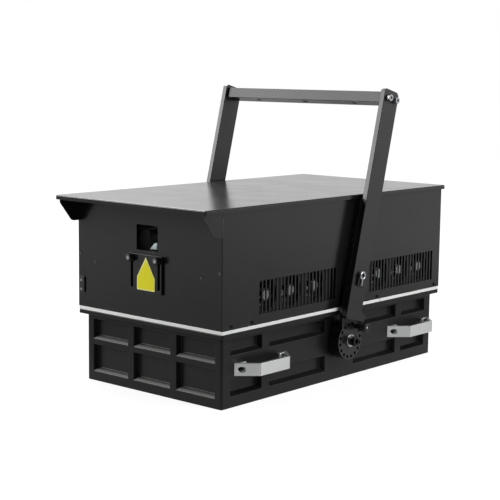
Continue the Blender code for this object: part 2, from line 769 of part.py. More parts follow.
def make_fan_rotors(look):
    """The fans' rotors: blades drawn out of every second side of a hub."""
    spider_face = fan_face() - FAN_DEPTH + FAN_SPIDER
    depth = FAN_DEPTH - FAN_SPIDER - 2 * GAP
    sides = 2 * FAN_BLADES
    tip = FAN_BORE * math.cos(math.pi / 16) - FAN_TIP_CLEARANCE
    edge = 0.001
    bm = bmesh.new()
    columns = []
    for i, (a, b) in enumerate(circle(FAN_HUB, sides)):
        low = depth * (0.12 if i % 2 == 0 else 0.72)
        levels = (0.0, low, low + FAN_BLADE_ROOT, depth - edge)
        columns.append([bm.verts.new((a, b, z)) for z in levels])
    crown = [bm.verts.new((a, b, depth)) for a, b in circle(FAN_HUB - edge, sides)]
    for i in range(sides):
        near, far = columns[i], columns[(i + 1) % sides]
        for level in range(3):
            if level == 1 and i % 2 == 0:
                continue
            bm.faces.new((near[level], far[level], far[level + 1], near[level + 1]))
        bm.faces.new((near[3], far[3], crown[(i + 1) % sides], crown[i]))
    bm.faces.new([column[0] for column in columns])
    bm.faces.new(crown)
    for blade in range(FAN_BLADES):
        near, far = columns[2 * blade], columns[2 * blade + 1]
        ring = [near[1], far[1], far[2], near[2]]
        middle = 2 * math.pi * (blade + 0.25) / FAN_BLADES
        for share, sweep, thick in ((0.5, 0.40, FAN_BLADE * 1.5), (1.0, 0.46, FAN_BLADE)):
            radius = FAN_HUB + (tip - FAN_HUB) * share
            lean = sweep * 0.25 * share
            points = []
            for end, height in ((-1, 0.16 + 0.04 * share), (1, 0.82 - 0.06 * share)):
                turn = middle + lean + end * sweep / 1.6
                for lift in (-thick / 2, thick / 2):
                    points.append((radius * math.cos(turn), radius * math.sin(turn), depth * height + lift))
            verts = [bm.verts.new(points[k]) for k in (0, 2, 3, 1)]
            for k in range(4):
                n = (k + 1) % 4
                bm.faces.new((ring[k], ring[n], verts[n], verts[k]))
            ring = verts
        bm.faces.new(ring)
    bmesh.ops.recalc_face_normals(bm, faces=bm.faces[:])
    shared = bpy.data.meshes.new("fan_rotor")
    bm.to_mesh(shared)
    bm.free()
    shared.transform(Matrix.Rotation(math.pi / 2, 4, "Y"))
    shared.materials.append(look)
    shared.shade_smooth()
    shared.set_sharp_from_angle(angle=math.radians(35))
    centres = [centre for bank in fan_places() for centre in bank]
    for number, (y, z) in enumerate(centres, 1):
        place("fan_rotor_%d" % number, shared, look, (spider_face + GAP, y, z))


def leg_outline():
    """A leg seen from the side, in the yoke's frame (rearward, along)."""
    front, rear = LEG_FRONT, LEG_REAR
    ear = rear + LEG_EAR
    corner = LEG_FOOT_CORNER
    middle = LEG_FOOT + corner
    foot = arc(corner, math.pi, 1.5 * math.pi, 4, (front + corner, middle))
    foot += arc(corner, 1.5 * math.pi, 2 * math.pi, 4, (ear - corner, middle))
    fillet = arc(LEG_EAR, 1.5 * math.pi, math.pi, 6, (ear, LEG_FOOT + LEG_EAR_HEIGHT + LEG_EAR))
    chamfer = LEG_TOP_CHAMFER
    top = [
        (rear, LEG_LENGTH - 1.5 * chamfer), (rear - 1.5 * chamfer, LEG_LENGTH),
        (front + chamfer, LEG_LENGTH), (front, LEG_LENGTH - chamfer),
    ]
    return foot + fillet + top


def yoke_screw_places():
    """Centres of the screws that hold a leg to the crossbar."""
    along = LEG_LENGTH - CROSSBAR_DROP - CROSSBAR_HEIGHT / 2
    return [(LEG_MIDDLE + sign * YOKE_SCREW_PITCH / 2, along) for sign in (-1, 1)]


def make_yoke_legs(yoke, look):
    """The two flat legs; each foot ends just above its pull knob."""
    holes = [circle(YOKE_SCREW_SHANK + BORE_CLEARANCE, 10, c) for c in yoke_screw_places()]
    for name, side in (("right", 1), ("left", -1)):
        near, far = sorted((side * LEG_INNER, side * LEG_OUTER))
        bm = prism(bmesh.new(), [leg_outline()] + holes, near, far, along_x)
        finish("yoke_leg_" + name, bm, look, parent=yoke)


def make_crossbar(yoke, look):
    """The bar between the legs, with two screw ports and three clamp holes."""
    top = LEG_LENGTH - CROSSBAR_DROP
    bottom = top - CROSSBAR_HEIGHT
    section = rectangle(LEG_FRONT + CROSSBAR_INSET, LEG_REAR - CROSSBAR_INSET, bottom, top)
    ports = [circle(YOKE_SCREW_SHANK + BORE_CLEARANCE / 2, 10, c) for c in yoke_screw_places()]
    half = LEG_INNER - GAP
    bm = prism(bmesh.new(), [section] + ports, -half, half, along_x)
    bar = finish("yoke_crossbar", bm, look, parent=yoke)
    cuts = bmesh.new()
    for x in CROSSBAR_HOLE_PLACES:
        prism(cuts, [circle(CROSSBAR_HOLE, 14, (x, LEG_MIDDLE))], bottom - 0.001, top + 0.001, along_z)
    combine(bar, finish("crossbar_holes_cutter", cuts, look, parent=yoke), "DIFFERENCE")


def make_yoke_screws(yoke, look):
    """The four socket screws at the top corners; those on the left have low heads."""
    head = LEG_OUTER + GAP
    edge = 0.0007
    socket = 0.0032
    heads = (("right", 1, YOKE_SCREW_HEAD_LENGTH), ("left", -1, YOKE_SCREW_LOW_HEAD))
    for name, side, height in heads:
        top = head + height
        floor = top - 0.004
        profile = [
            (0, head - YOKE_SCREW_REACH), (YOKE_SCREW_SHANK, head - YOKE_SCREW_REACH),
            (YOKE_SCREW_SHANK, head), (YOKE_SCREW_HEAD, head), (YOKE_SCREW_HEAD, top - edge),
            (YOKE_SCREW_HEAD - edge, top), (socket, top), (socket, floor), (0, floor),
        ]
        turned = [(r, side * x) for r, x in profile]
        for end, (a, b) in zip(("front", "rear"), yoke_screw_places()):
            bm = lathe(bmesh.new(), turned, 10, along_x)
            finish("yoke_screw_%s_%s" % (name, end), bm, look, (0, a, b), yoke, smooth=40)


def index_centres(phase):
    """Centres of the ring of index holes; phase turns from the leg to the rear."""
    places = []
    for i in range(INDEX_HOLES):
        turn = phase + HOLE_STEP * i
        places.append((INDEX_RING * math.sin(turn), INDEX_RING * math.cos(turn)))
    return places


def index_outline():
    """The index plate: a disc whose throat widens into a tongue behind the leg."""
    front, rear = LEG_FRONT, LEG_REAR
    round_start = math.asin(rear / INDEX_RADIUS)
    points = []
    steps = 30
    sweep = INDEX_SHOULDER - round_start
    for i in range(steps + 1):
        turn = round_start + sweep * i / steps
        points.append((INDEX_RADIUS * math.sin(turn), INDEX_RADIUS * math.cos(turn)))
    chamfer = 0.006
    points += [
        (front, INDEX_THROAT), (front, INDEX_TONGUE - chamfer), (front + chamfer, INDEX_TONGUE),
        (rear - chamfer, INDEX_TONGUE), (rear, INDEX_TONGUE - chamfer),
    ]
    return points


def make_index_plates(yoke, look):
    """The drilled index plates, each with a barrel for its pull knob."""
    bore = circle(BOLT_SHANK + BORE_CLEARANCE, 16)
    holes = [circle(INDEX_HOLE, 8, c) for i, c in enumerate(index_centres(0.0)) if i != 1]
    pin_centre = index_centres(0.0)[1]
    pin_bore = PIN_RADIUS + BORE_CLEARANCE
    weld = 0.002
    for name, side in (("right", 1), ("left", -1)):
        near, far = sorted((side * PLATE_INNER, side * PLATE_OUTER))
        pin_hole = circle(pin_bore, 12, pin_centre)
        bm = prism(bmesh.new(), [index_outline(), bore, pin_hole] + holes, near, far, along_x)
        plate = finish("index_plate_" + name, bm, look, parent=yoke)
        near, far = sorted((side * (PLATE_OUTER - weld), side * (PLATE_OUTER + BARREL_LENGTH)))
        rings = [circle(BARREL_RADIUS, 12, pin_centre), circle(pin_bore, 12, pin_centre)]
        barrel = finish("barrel_helper", prism(bmesh.new(), rings, near, far, along_x), look, parent=yoke)
        combine(plate, barrel, "UNION")


def make_pull_knobs(yoke, look):
    """The pull knobs, drawn out: each pin's tip rests inside its index plate."""
    tip = PLATE_INNER + GAP
    rim = PLATE_OUTER + PIN_TRAVEL + 0.0008
    floor = rim + KNOB_SOCKET
    end = rim + KNOB_LENGTH
    edge = 0.0012
    neck = BARREL_RADIUS + 2 * BORE_CLEARANCE
    profile = [
        (0, tip), (PIN_RADIUS, tip), (PIN_RADIUS, floor), (neck, floor), (neck, rim),
        (KNOB_RADIUS, rim), (KNOB_RADIUS, end - edge), (KNOB_RADIUS - edge, end), (0, end),
    ]
    for name, side in (("right", 1), ("left", -1)):
        a, b = index_centres(0.0)[1]
        bm = lathe(bmesh.new(), [(r, side * x) for r, x in profile], 12, along_x)
        finish("pull_knob_" + name, bm, look, (0, a, b), yoke, smooth=40)


def make_pivot_bosses(look):
    """The fixed bosses on the tray that the yoke turns on, drilled for the pins."""
    inner = TRAY_HALF_WIDTH + GAP
    outer = PLATE_INNER - GAP
    phase = YOKE_LEAN + HOLE_STEP
    holes = [circle(BOSS_HOLE, 6, c) for c in index_centres(phase)]
    bore = circle(BOLT_SHANK + BORE_CLEARANCE, 16)
    for name, side in (("right", 1), ("left", -1)):
        near, far = sorted((side * inner, side * outer))
        bm = prism(bmesh.new(), [circle(BOSS_RADIUS, 28), bore] + holes, near, far, along_x)
        finish("pivot_boss_" + name, bm, look, (0, PIVOT_Y, PIVOT_Z), smooth=40)


def make_pivot_bolts(look):
    """The socket-head pivot bolts, each with its collar."""
    start = TRAY_HALF_WIDTH + 2 * GAP
    washer = PLATE_OUTER + GAP
    head = washer + BOLT_WASHER_THICKNESS
    end = head + BOLT_HEAD_LENGTH
    edge = 0.0008
    profile = [
        (0, start), (BOLT_SHANK, start), (BOLT_SHANK, washer), (BOLT_WASHER, washer), (BOLT_WASHER, head),
        (BOLT_HEAD, head), (BOLT_HEAD, end - edge), (BOLT_HEAD - edge, end),
        (BOLT_SOCKET, end), (BOLT_SOCKET, end - BOLT_SOCKET_DEPTH), (0, end - BOLT_SOCKET_DEPTH),
    ]
    for name, side in (("right", 1), ("left", -1)):
        bm = lathe(bmesh.new(), [(r, side * x) for r, x in profile], 14, along_x)
        finish("pivot_bolt_" + name, bm, look, (0, PIVOT_Y, PIVOT_Z), smooth=40)


def make_safety_eye(yoke, look):
    """The eye for a safety rope, on a small plate on the right leg."""
    face = LEG_OUTER + GAP
    top = face + EYE_PLATE_THICKNESS
    bm = prism(bmesh.new(), [rounded(*EYE_PLATE, 0.002, EYE_PLATE_PLACE, 2)], face, top, along_x)
    plate = finish("safety_eye", bm, look, parent=yoke)
    wire = top + EYE_WIRE * 0.6
    ring = bmesh.new()
    loops = []
    around, across = 12, 6
    for i in range(around):
        turn = 2 * math.pi * i / around
        loop = []
        for radius, depth in circle(EYE_WIRE, across, (EYE_RING, wire)):
            a = EYE_PLACE[0] + radius * math.cos(turn)
            b = EYE_PLACE[1] + radius * math.sin(turn)
            loop.append(ring.verts.new((depth, a, b)))
        loops.append(loop)
    for i in range(around):
        near, far = loops[i], loops[(i + 1) % around]
        for j in range(across):
            k = (j + 1) % across
            ring.faces.new((near[j], near[k], far[k], far[j]))
    combine(plate, finish("eye_ring_helper", ring, look, parent=yoke), "UNION")
    stem = bmesh.new()
    foot = EYE_PLACE[1] - EYE_STEM
    low = EYE_PLACE[1] - EYE_RING
    prism(stem, [circle(EYE_WIRE * 1.15, 8, (wire, EYE_PLACE[0]), 0.2)], foot, low, along_z)
    combine(plate, finish("eye_stem_helper", stem, look, parent=yoke), "UNION")


def handle_outline():
    """A handle seen from above: a strap with splayed legs and feet turned in."""
    foot, grip = HANDLE_FOOT_SPAN / 2, HANDLE_GRIP_SPAN / 2
    thick = HANDLE_THICKNESS
    stand = HANDLE_STAND
    run = foot - grip
    length = math.hypot(run, stand)
    shift = thick * length / stand
    corner = thick * (length - run) / stand
    near = foot - shift + run * thick / stand
    outer = [(0.0, -foot), (stand, -grip), (stand, grip), (0.0, foot)]
    turned_in = foot - HANDLE_FOOT
    inner = [
        (0.0, turned_in), (thick, turned_in), (thick, near - 2 * run * thick / stand),
        (stand - thick, grip - corner), (stand - thick, -grip + corner),
        (thick, -near + 2 * run * thick / stand), (thick, -turned_in), (0.0, -turned_in),
    ]
    return outer + inner


def make_handles(look):
    """Four aluminium strap handles, two a side, with a hole in each leg."""
    low = HANDLE_HEIGHT - HANDLE_STRAP / 2
    high = HANDLE_HEIGHT + HANDLE_STRAP / 2
    foot, grip = HANDLE_FOOT_SPAN / 2, HANDLE_GRIP_SPAN / 2
    lean = math.atan2(foot - grip, HANDLE_STAND)
    base = TRAY_HALF_WIDTH + GAP
    cutters = bmesh.new()
    for end in (-1, 1):
        along = HANDLE_HOLE_PLACE
        spot = Vector((HANDLE_STAND * along, end * (foot - (foot - grip) * along), HANDLE_HEIGHT))
        turn = Matrix.Translation(spot) @ Matrix.Rotation(-end * lean, 4, "Z")
        slot = [(b, -a) for a, b in obround(*HANDLE_HOLE)]
        hole = [cutters.verts.new(turn @ Vector((a, -0.02, b))) for a, b in slot]
        far = [cutters.verts.new(turn @ Vector((a, 0.02, b))) for a, b in slot]
        for i in range(len(slot)):
            j = (i + 1) % len(slot)
            cutters.faces.new((hole[i], hole[j], far[j], far[i]))
        cutters.faces.new(hole)
        cutters.faces.new(far)
    drill = finish("handle_holes_cutter", cutters, look)
    pattern = finish("handle_pattern", prism(bmesh.new(), [handle_outline()], low, high, along_z), look)
    combine(pattern, drill, "DIFFERENCE")
    shared = evaluated_mesh(pattern)
    bpy.data.objects.remove(pattern)
    bpy.data.objects.remove(drill)
    mirrored = shared.copy()
    mirrored.transform(Matrix.Scale(-1, 4, (1, 0, 0)))
    mirrored.flip_normals()
    for bank, y in zip(("front", "rear"), HANDLE_PLACES):
        place("handle_%s_right" % bank, shared, look, (base, y, 0))
        place("handle_%s_left" % bank, mirrored, look, (-base, y, 0))


def inside_size(inset):
    """Width and length of an inner plate, from its insets from the housing's side and end."""
    return (HOUSING_WIDTH - 2 * inset[0], HOUSING_LENGTH - 2 * inset[1])


def make_chassis(look):
    """The plate across the tray that carries the inner works."""
    width, length = inside_size(CHASSIS_INSET)
    outline = rounded(width, length, 0.006, (0, 0), 2)
    ways = [rectangle(-0.10, 0.10, y - 0.03, y + 0.03) for y in (-0.20, 0.20)]
    bm = prism(bmesh.new(), [outline] + ways, CHASSIS_BOTTOM, CHASSIS_BOTTOM + CHASSIS_SHEET, along_z)
    finish("chassis_plate", bm, look)


def make_deck(look):
    """The thick plate that carries the optics, with cooling fins below it."""
    width, length = inside_size(SINK_INSET)
    pitch = (length - SINK_FIN) / (SINK_FINS - 1)
    root = DECK_BOTTOM + 0.0005
    outline = rounded(*inside_size(DECK_INSET), 0.006, (0, 0), 2)
    bm = prism(bmesh.new(), [outline], DECK_BOTTOM, DECK_TOP, along_z)
    deck = finish("optical_deck", bm, look)
    fins = bmesh.new()
    for i in range(SINK_FINS):
        near = -length / 2 + pitch * i
        prism(fins, [rectangle(-width / 2, width / 2, near, near + SINK_FIN)], SINK_BOTTOM, root, along_z)
    combine(deck, finish("deck_fins_helper", fins, look), "UNION")


def laser_places():
    """Rows of the three laser modules, front to rear."""
    return [-0.115 + LASER_PITCH * i for i in range(3)]


def make_lasers(looks):
    """Three laser modules, each with a snout towards the combining mirrors."""
    width, length, height = LASER_SIZE
    bottom = DECK_TOP + GAP
    right = BEAM_X - 0.030
    left = right - width
    for (name, look), y in zip(looks, laser_places()):
        bm = bmesh.new()
        step = 0.006
        section = [
            (left, bottom), (right, bottom), (right, bottom + height - step),
            (right - step, bottom + height), (left + step, bottom + height), (left, bottom + height - step),
        ]
        prism(bm, [section], -length / 2, length / 2, along_y)
        body = finish("laser_" + name, bm, look, (0, y, 0))
        snout = bmesh.new()
        prism(snout, [circle(LASER_SNOUT, 12, (0, LASER_HEIGHT))], right - 0.002, right + 0.010, along_x)
        combine(body, finish("laser_snout_helper", snout, look, (0, y, 0)), "UNION")


def make_mirrors(look):
    """The combining mirrors and the last turning mirror on one rail, at 45 degrees."""
    width, thick, height = MIRROR_PLATE
    bottom = DECK_TOP + GAP
    rail_top = bottom + MIRROR_FOOT
    top = rail_top + LASER_SIZE[2] * 0.4 + height / 2
    rows = [scan_place()[1]] + laser_places()
    reach = width / 2
    outline = rectangle(BEAM_X - 0.010, BEAM_X + 0.010, rows[0] - reach, rows[-1] + reach)
    rail = finish("combining_mirrors", prism(bmesh.new(), [outline], bottom, rail_top, along_z), look)
    plates = bmesh.new()
    turn = math.radians(45)
    for y in rows:
        outline = []
        for a, b in rectangle(-width / 2, width / 2, -thick / 2, thick / 2):
            across = BEAM_X + a * math.cos(turn) - b * math.sin(turn)
            outline.append((across, y + a * math.sin(turn) + b * math.cos(turn)))
        prism(plates, [outline], rail_top - 0.001, top, along_z)
    combine(rail, finish("mirror_plates_helper", plates, look), "UNION")


def scan_place():
    """Where the scanning mirrors stand, in X and Y."""
    return (0.0, FRONT + GALVO_FRONT)


def make_scanner(block_look, mirror_look):
    """The scanning head: a block that holds two motors, and their turning mirrors."""
    x, y = scan_place()
    bottom = DECK_TOP + GAP
    radius = GALVO_MOTOR
    wall = 0.003
    near = GALVO_MIRROR[0] / 2 + GALVO_NECK
    clamp = near + GALVO_CLAMP
    far = near + GALVO_MOTOR_LENGTH
    outline = rectangle(x - radius - wall, x + radius + wall, bottom, LASER_HEIGHT + radius + wall)
    bm = prism(bmesh.new(), [outline], y + near, y + clamp, along_y)
    block = finish("scanner_block", bm, block_look)
    outline = rectangle(y - radius - wall, y + clamp, bottom, BEAM_HEIGHT + radius + wall)
    arm = prism(bmesh.new(), [outline], x - clamp, x - near, along_x)
    combine(block, finish("scanner_arm_helper", arm, block_look), "UNION")
    end = 0.001
    cans = bmesh.new()
    profile = [(0, y + clamp - end), (radius, y + clamp - end), (radius, y + far), (0, y + far)]
    lathe(cans, profile, 14, along_y, (x, LASER_HEIGHT))
    profile = [(0, x - far), (radius, x - far), (radius, x - clamp + end), (0, x - clamp + end)]
    lathe(cans, profile, 14, along_x, (y, BEAM_HEIGHT))
    combine(block, finish("scanner_motors_helper", cans, block_look), "UNION")
    make_galvo_rotor("galvo_x_mirror", (x, y + near - GAP, LASER_HEIGHT), "Y", mirror_look)
    make_galvo_rotor("galvo_y_mirror", (x - near + GAP, y, BEAM_HEIGHT), "X", mirror_look)


def make_galvo_rotor(name, location, axis, look):
    """A scanner's mirror on its short shaft, at 45 degrees at rest."""
    length, width, thick = GALVO_MIRROR
    neck = GALVO_NECK - GAP
    turn = math.radians(45)
    plate = []
    for a, b in rectangle(-width / 2, width / 2, -thick / 2, thick / 2):
        plate.append((a * math.cos(turn) - b * math.sin(turn), a * math.sin(turn) + b * math.cos(turn)))
    way, sign = (along_y, -1) if axis == "Y" else (along_x, 1)
    low, high = sorted((sign * neck, sign * (neck + length)))
    mirror = finish(name, prism(bmesh.new(), [plate], low, high, way), look, location)
    low, high = sorted((0.0, sign * (neck + 0.001)))
    stub = prism(bmesh.new(), [circle(GALVO_SHAFT, 8)], low, high, way)
    combine(mirror, finish("galvo_shaft_helper", stub, look, location), "UNION")


def make_supply(look):
    """The power supply on the tray's floor, with a stepped terminal end."""
    width, length, height = SUPPLY_SIZE
    bottom = TRAY_FLOOR + GAP
    rear = SUPPLY_PLACE + length / 2
    front = SUPPLY_PLACE - length / 2
    step = 0.018
    section = [
        (front, bottom), (rear, bottom), (rear, bottom + height), (front + step, bottom + height),
        (front + step, bottom + height * 0.4), (front, bottom + height * 0.4),
    ]
    bm = prism(bmesh.new(), [section], -width / 2, width / 2, along_x)
    finish("power_supply", bm, look)


def make_board(look):
    """The control board on four standoffs, with its larger components."""
    width, length, thick = BOARD_SIZE
    middle = (0.0, -0.150)
    low = TRAY_FLOOR + GAP
    board = low + STANDOFF
    bm = prism(bmesh.new(), [rectangle(-width / 2, width / 2, middle[1] - length / 2, middle[1] + length / 2)],
               board, board + thick, along_z)
    made = finish("control_board", bm, look)
    extras = bmesh.new()
    for side_x in (-1, 1):
        for side_y in (-1, 1):
            spot = (side_x * (width / 2 - 0.008), middle[1] + side_y * (length / 2 - 0.008))
            prism(extras, [circle(0.004, 8, spot)], low, board + thick / 2, along_z)
    for x, y, w, l, h in ((-0.05, -0.18, 0.04, 0.04, 0.018), (0.045, -0.17, 0.03, 0.05, 0.012),
                          (0.0, -0.11, 0.12, 0.012, 0.014)):
        box(extras, (x - w / 2, y - l / 2, board + thick / 2), (x + w / 2, y + l / 2, board + h))
    combine(made, finish("board_parts_helper", extras, look), "UNION")


def rear_spot(spot):
    """A place on the rear panel, from its offset above the hood's lower edge."""
    return (spot[0], HOOD_BOTTOM + spot[1])


def button_places():
    """The four menu buttons, in a row under the display."""
    x, z = rear_spot(DISPLAY_PLACE)
    return [(x + BUTTON_PITCH * (i - 1.5), z - BUTTON_DROP) for i in range(4)]


def make_rear_panel(look):
    """The rear wall, cut for its sockets, switches and display."""
    half = PANEL_INSIDE - GAP
    clear = BORE_CLEARANCE
    outline = rectangle(-half, half, HOOD_BOTTOM, PANEL_TOP)
    cuts = [rounded(INLET_SIZE[0] + 2 * clear, INLET_SIZE[1] + 2 * clear, 0.002, rear_spot(INLET_PLACE), 1)]
    a, b = rear_spot(SWITCH_PLACE)
    half_w, half_h = SWITCH_SIZE[0] / 2 + clear, SWITCH_SIZE[1] / 2 + clear
    cuts.append(rectangle(a - half_w, a + half_w, b - half_h, b + half_h))
    cuts.append(circle(KEY_RADIUS + clear, 16, rear_spot(KEY_PLACE)))
    cuts += [circle(SOCKET_RADIUS + clear, 16, rear_spot(spot)) for spot in SOCKET_PLACES]
    cuts.append(rounded(DATA_SHELL[0] + 0.004, DATA_SHELL[1] + 0.002, 0.002, rear_spot(DATA_PLACE), 1))
    cuts.append(rounded(*DISPLAY_SIZE, 0.002, rear_spot(DISPLAY_PLACE), 2))
    cuts += [circle(BUTTON_RADIUS + clear, 12, spot) for spot in button_places()]
    rear = HALF_LENGTH
    bm = prism(bmesh.new(), [outline] + cuts, rear - SHEET, rear, along_y)
    finish("rear_panel", bm, look)


def plate_across(spots, margin):
    """Outline of a plate on the rear panel that reaches past its outer cutouts."""
    low = min(x for x, _ in spots) - margin
    high = max(x for x, _ in spots) + margin
    return rounded(high - low, REAR_PLATE_HEIGHT, 0.003, ((low + high) / 2, spots[0][1]), 2)


def key_profile(face):
    """The key barrel behind the plate, turned about the key's axis."""
    return [
        (0, face - KEY_DEPTH), (KEY_RADIUS, face - KEY_DEPTH), (KEY_RADIUS, face + 0.0005),
        (KEY_BORE, face + 0.0005), (KEY_BORE, face - KEY_SEAT), (0, face - KEY_SEAT),
    ]


def make_power_entry(look):
    """One plate with the mains inlet, the rocker's well and the key's barrel."""
    inlet, switch, key = rear_spot(INLET_PLACE), rear_spot(SWITCH_PLACE), rear_spot(KEY_PLACE)
    face = HALF_LENGTH + GAP
    wall = INLET_WALL
    mouth = rounded(INLET_SIZE[0] - 2 * wall, INLET_SIZE[1] - 2 * wall, 0.002, inlet, 1)
    outer = rounded(*INLET_SIZE, 0.002, inlet, 1)
    half_w, half_h = SWITCH_SIZE[0] / 2, SWITCH_SIZE[1] / 2
    a, b = switch
    well_outer = rectangle(a - half_w, a + half_w, b - half_h, b + half_h)
    half_w, half_h = half_w - SWITCH_WALL, half_h - SWITCH_WALL
    well = rectangle(a - half_w, a + half_w, b - half_h, b + half_h)
    plate = plate_across([inlet, switch, key], REAR_PLATE_MARGIN)
    holes = [mouth, well, circle(KEY_BORE, 16, key)]
    bm = prism(bmesh.new(), [plate] + holes, face, face + FLANGE_SHEET, along_y)
    made = finish("power_entry", bm, look, smooth=40)
    walls = bmesh.new()
    prism(walls, [outer, mouth], face - INLET_DEPTH, face + 0.0005, along_y)
    prism(walls, [well_outer, well], face - SWITCH_DEPTH, face + 0.0005, along_y)
    lathe(walls, key_profile(face), 16, along_y, key)
    combine(made, finish("entry_walls_helper", walls, look), "UNION")
    floors = bmesh.new()
    prism(floors, [outer], face - INLET_DEPTH - wall, face - INLET_DEPTH + 0.0005, along_y)
    prism(floors, [well_outer], face - SWITCH_DEPTH - wall, face - SWITCH_DEPTH + 0.0005, along_y)
    combine(made, finish("entry_floors_helper", floors, look), "UNION")


def make_signal_entry(look):
    """One plate with two round signal sockets and the wide data socket."""
    face = HALF_LENGTH + GAP
    spots = [rear_spot(place_) for place_ in SOCKET_PLACES]
    data = rear_spot(DATA_PLACE)
    mouths = [circle(SOCKET_BORE, 16, spot) for spot in spots]
    plate = plate_across(spots + [data], REAR_PLATE_MARGIN + 0.010)
    made = finish("signal_entry", prism(bmesh.new(), [plate] + mouths, face, face + FLANGE_SHEET, along_y), look)
    cups = bmesh.new()
    for hollow, spot in zip((True, False), spots):
        level = face - SOCKET_DEPTH + 0.004 if hollow else face - 0.002
        profile = [
            (0, level), (SOCKET_BORE, level), (SOCKET_BORE, face + 0.0005), (SOCKET_RADIUS, face + 0.0005),
            (SOCKET_RADIUS, face - SOCKET_DEPTH), (0, face - SOCKET_DEPTH),
        ]
        lathe(cups, profile, 16, along_y, spot)
    width, height = DATA_SHELL
    slant = 0.001
    a, b = data
    outline = [
        (a - width / 2, b + height / 2), (a + width / 2, b + height / 2),
        (a + width / 2 - slant, b - height / 2), (a - width / 2 + slant, b - height / 2),
    ]
    prism(cups, [outline], face - 0.010, face + 0.0065, along_y)
    combine(made, finish("signal_cups_helper", cups, look), "UNION")


def make_key(look):
    """The key: a plug in the barrel and a flat bow outside."""
    a, b = rear_spot(KEY_PLACE)
    tail = GAP - KEY_SEAT + GAP
    front = GAP + FLANGE_SHEET + 0.001
    plug_radius = KEY_BORE - BORE_CLEARANCE
    profile = [(0, tail), (plug_radius, tail), (plug_radius, front), (0, front)]
    spot = (a, HALF_LENGTH, b)
    key = finish("switch_key", lathe(bmesh.new(), profile, 12, along_y), look, spot)
    thick = 0.0009
    bow = prism(bmesh.new(), [rectangle(-thick, thick, front - 0.001, front + 0.011)], -0.004, 0.004, along_z)
    combine(key, finish("key_blade_helper", bow, look, spot), "UNION")
    bow = prism(bmesh.new(), [rectangle(-0.0016, 0.0016, front + 0.009, front + 0.021)], -0.009, 0.009, along_z)
    combine(key, finish("key_bow_helper", bow, look, spot), "UNION")


def make_rocker(look):
    """The mains rocker, tilted on its pivot in the well."""
    a, b = rear_spot(SWITCH_PLACE)
    play = 0.0006
    half_h = SWITCH_SIZE[1] / 2 - SWITCH_WALL - play
    half_w = SWITCH_SIZE[0] / 2 - SWITCH_WALL - play
    reach = half_h * 0.97
    crest = half_h * 0.80
    profile = [
        (0.0070, -crest), (0.0048, 0.0), (0.0070, crest), (0.0010, reach),
        (-0.0055, 0.0028), (-0.0055, -0.0028), (0.0010, -reach),
    ]
    bm = prism(bmesh.new(), [profile], -half_w, half_w, along_x)
    rocker = finish("power_rocker", bm, look, (a, HALF_LENGTH + GAP - 0.0045, b))
    rocker.rotation_euler = (SWITCH_TILT, 0, 0)


def make_menu(display_look, button_look):
    """The display behind its window, and the four menu buttons."""
    spot = rear_spot(DISPLAY_PLACE)
    inside = HALF_LENGTH - SHEET - GAP
    margin = 0.004
    outline = rounded(DISPLAY_SIZE[0] + 2 * margin, DISPLAY_SIZE[1] + 2 * margin, 0.002, spot, 1)
    bm = prism(bmesh.new(), [outline], inside - 0.006, inside, along_y)
    drop = BUTTON_DROP
    low = spot[1] - drop - 0.012
    high = spot[1] - DISPLAY_SIZE[1] / 2 - margin - 0.002
    half = 2 * BUTTON_PITCH
    made = finish("menu_display", bm, display_look)
    keypad_back = inside - 0.006
    board = prism(bmesh.new(), [rectangle(spot[0] - half, spot[0] + half, low, high + 0.004)],
                  keypad_back, keypad_back + 0.0016, along_y)
    combine(made, finish("keypad_helper", board, display_look), "UNION")
    head = HALF_LENGTH + BUTTON_PROUD
    tail = keypad_back + 0.0016 + BUTTON_TRAVEL + GAP
    flange = inside - GAP
    edge = 0.0006
    profile = [
        (0, tail), (BUTTON_RADIUS + 0.0012, tail), (BUTTON_RADIUS + 0.0012, flange - 0.0002),
        (BUTTON_RADIUS, flange - 0.0002), (BUTTON_RADIUS, head - edge), (BUTTON_RADIUS - edge, head), (0, head),
    ]
    local = [(r, y - HALF_LENGTH) for r, y in profile]
    for number, (x, z) in enumerate(button_places(), 1):
        bm = lathe(bmesh.new(), local, 12, along_y)
        finish("menu_button_%d" % number, bm, button_look, (x, HALF_LENGTH, z), smooth=40)


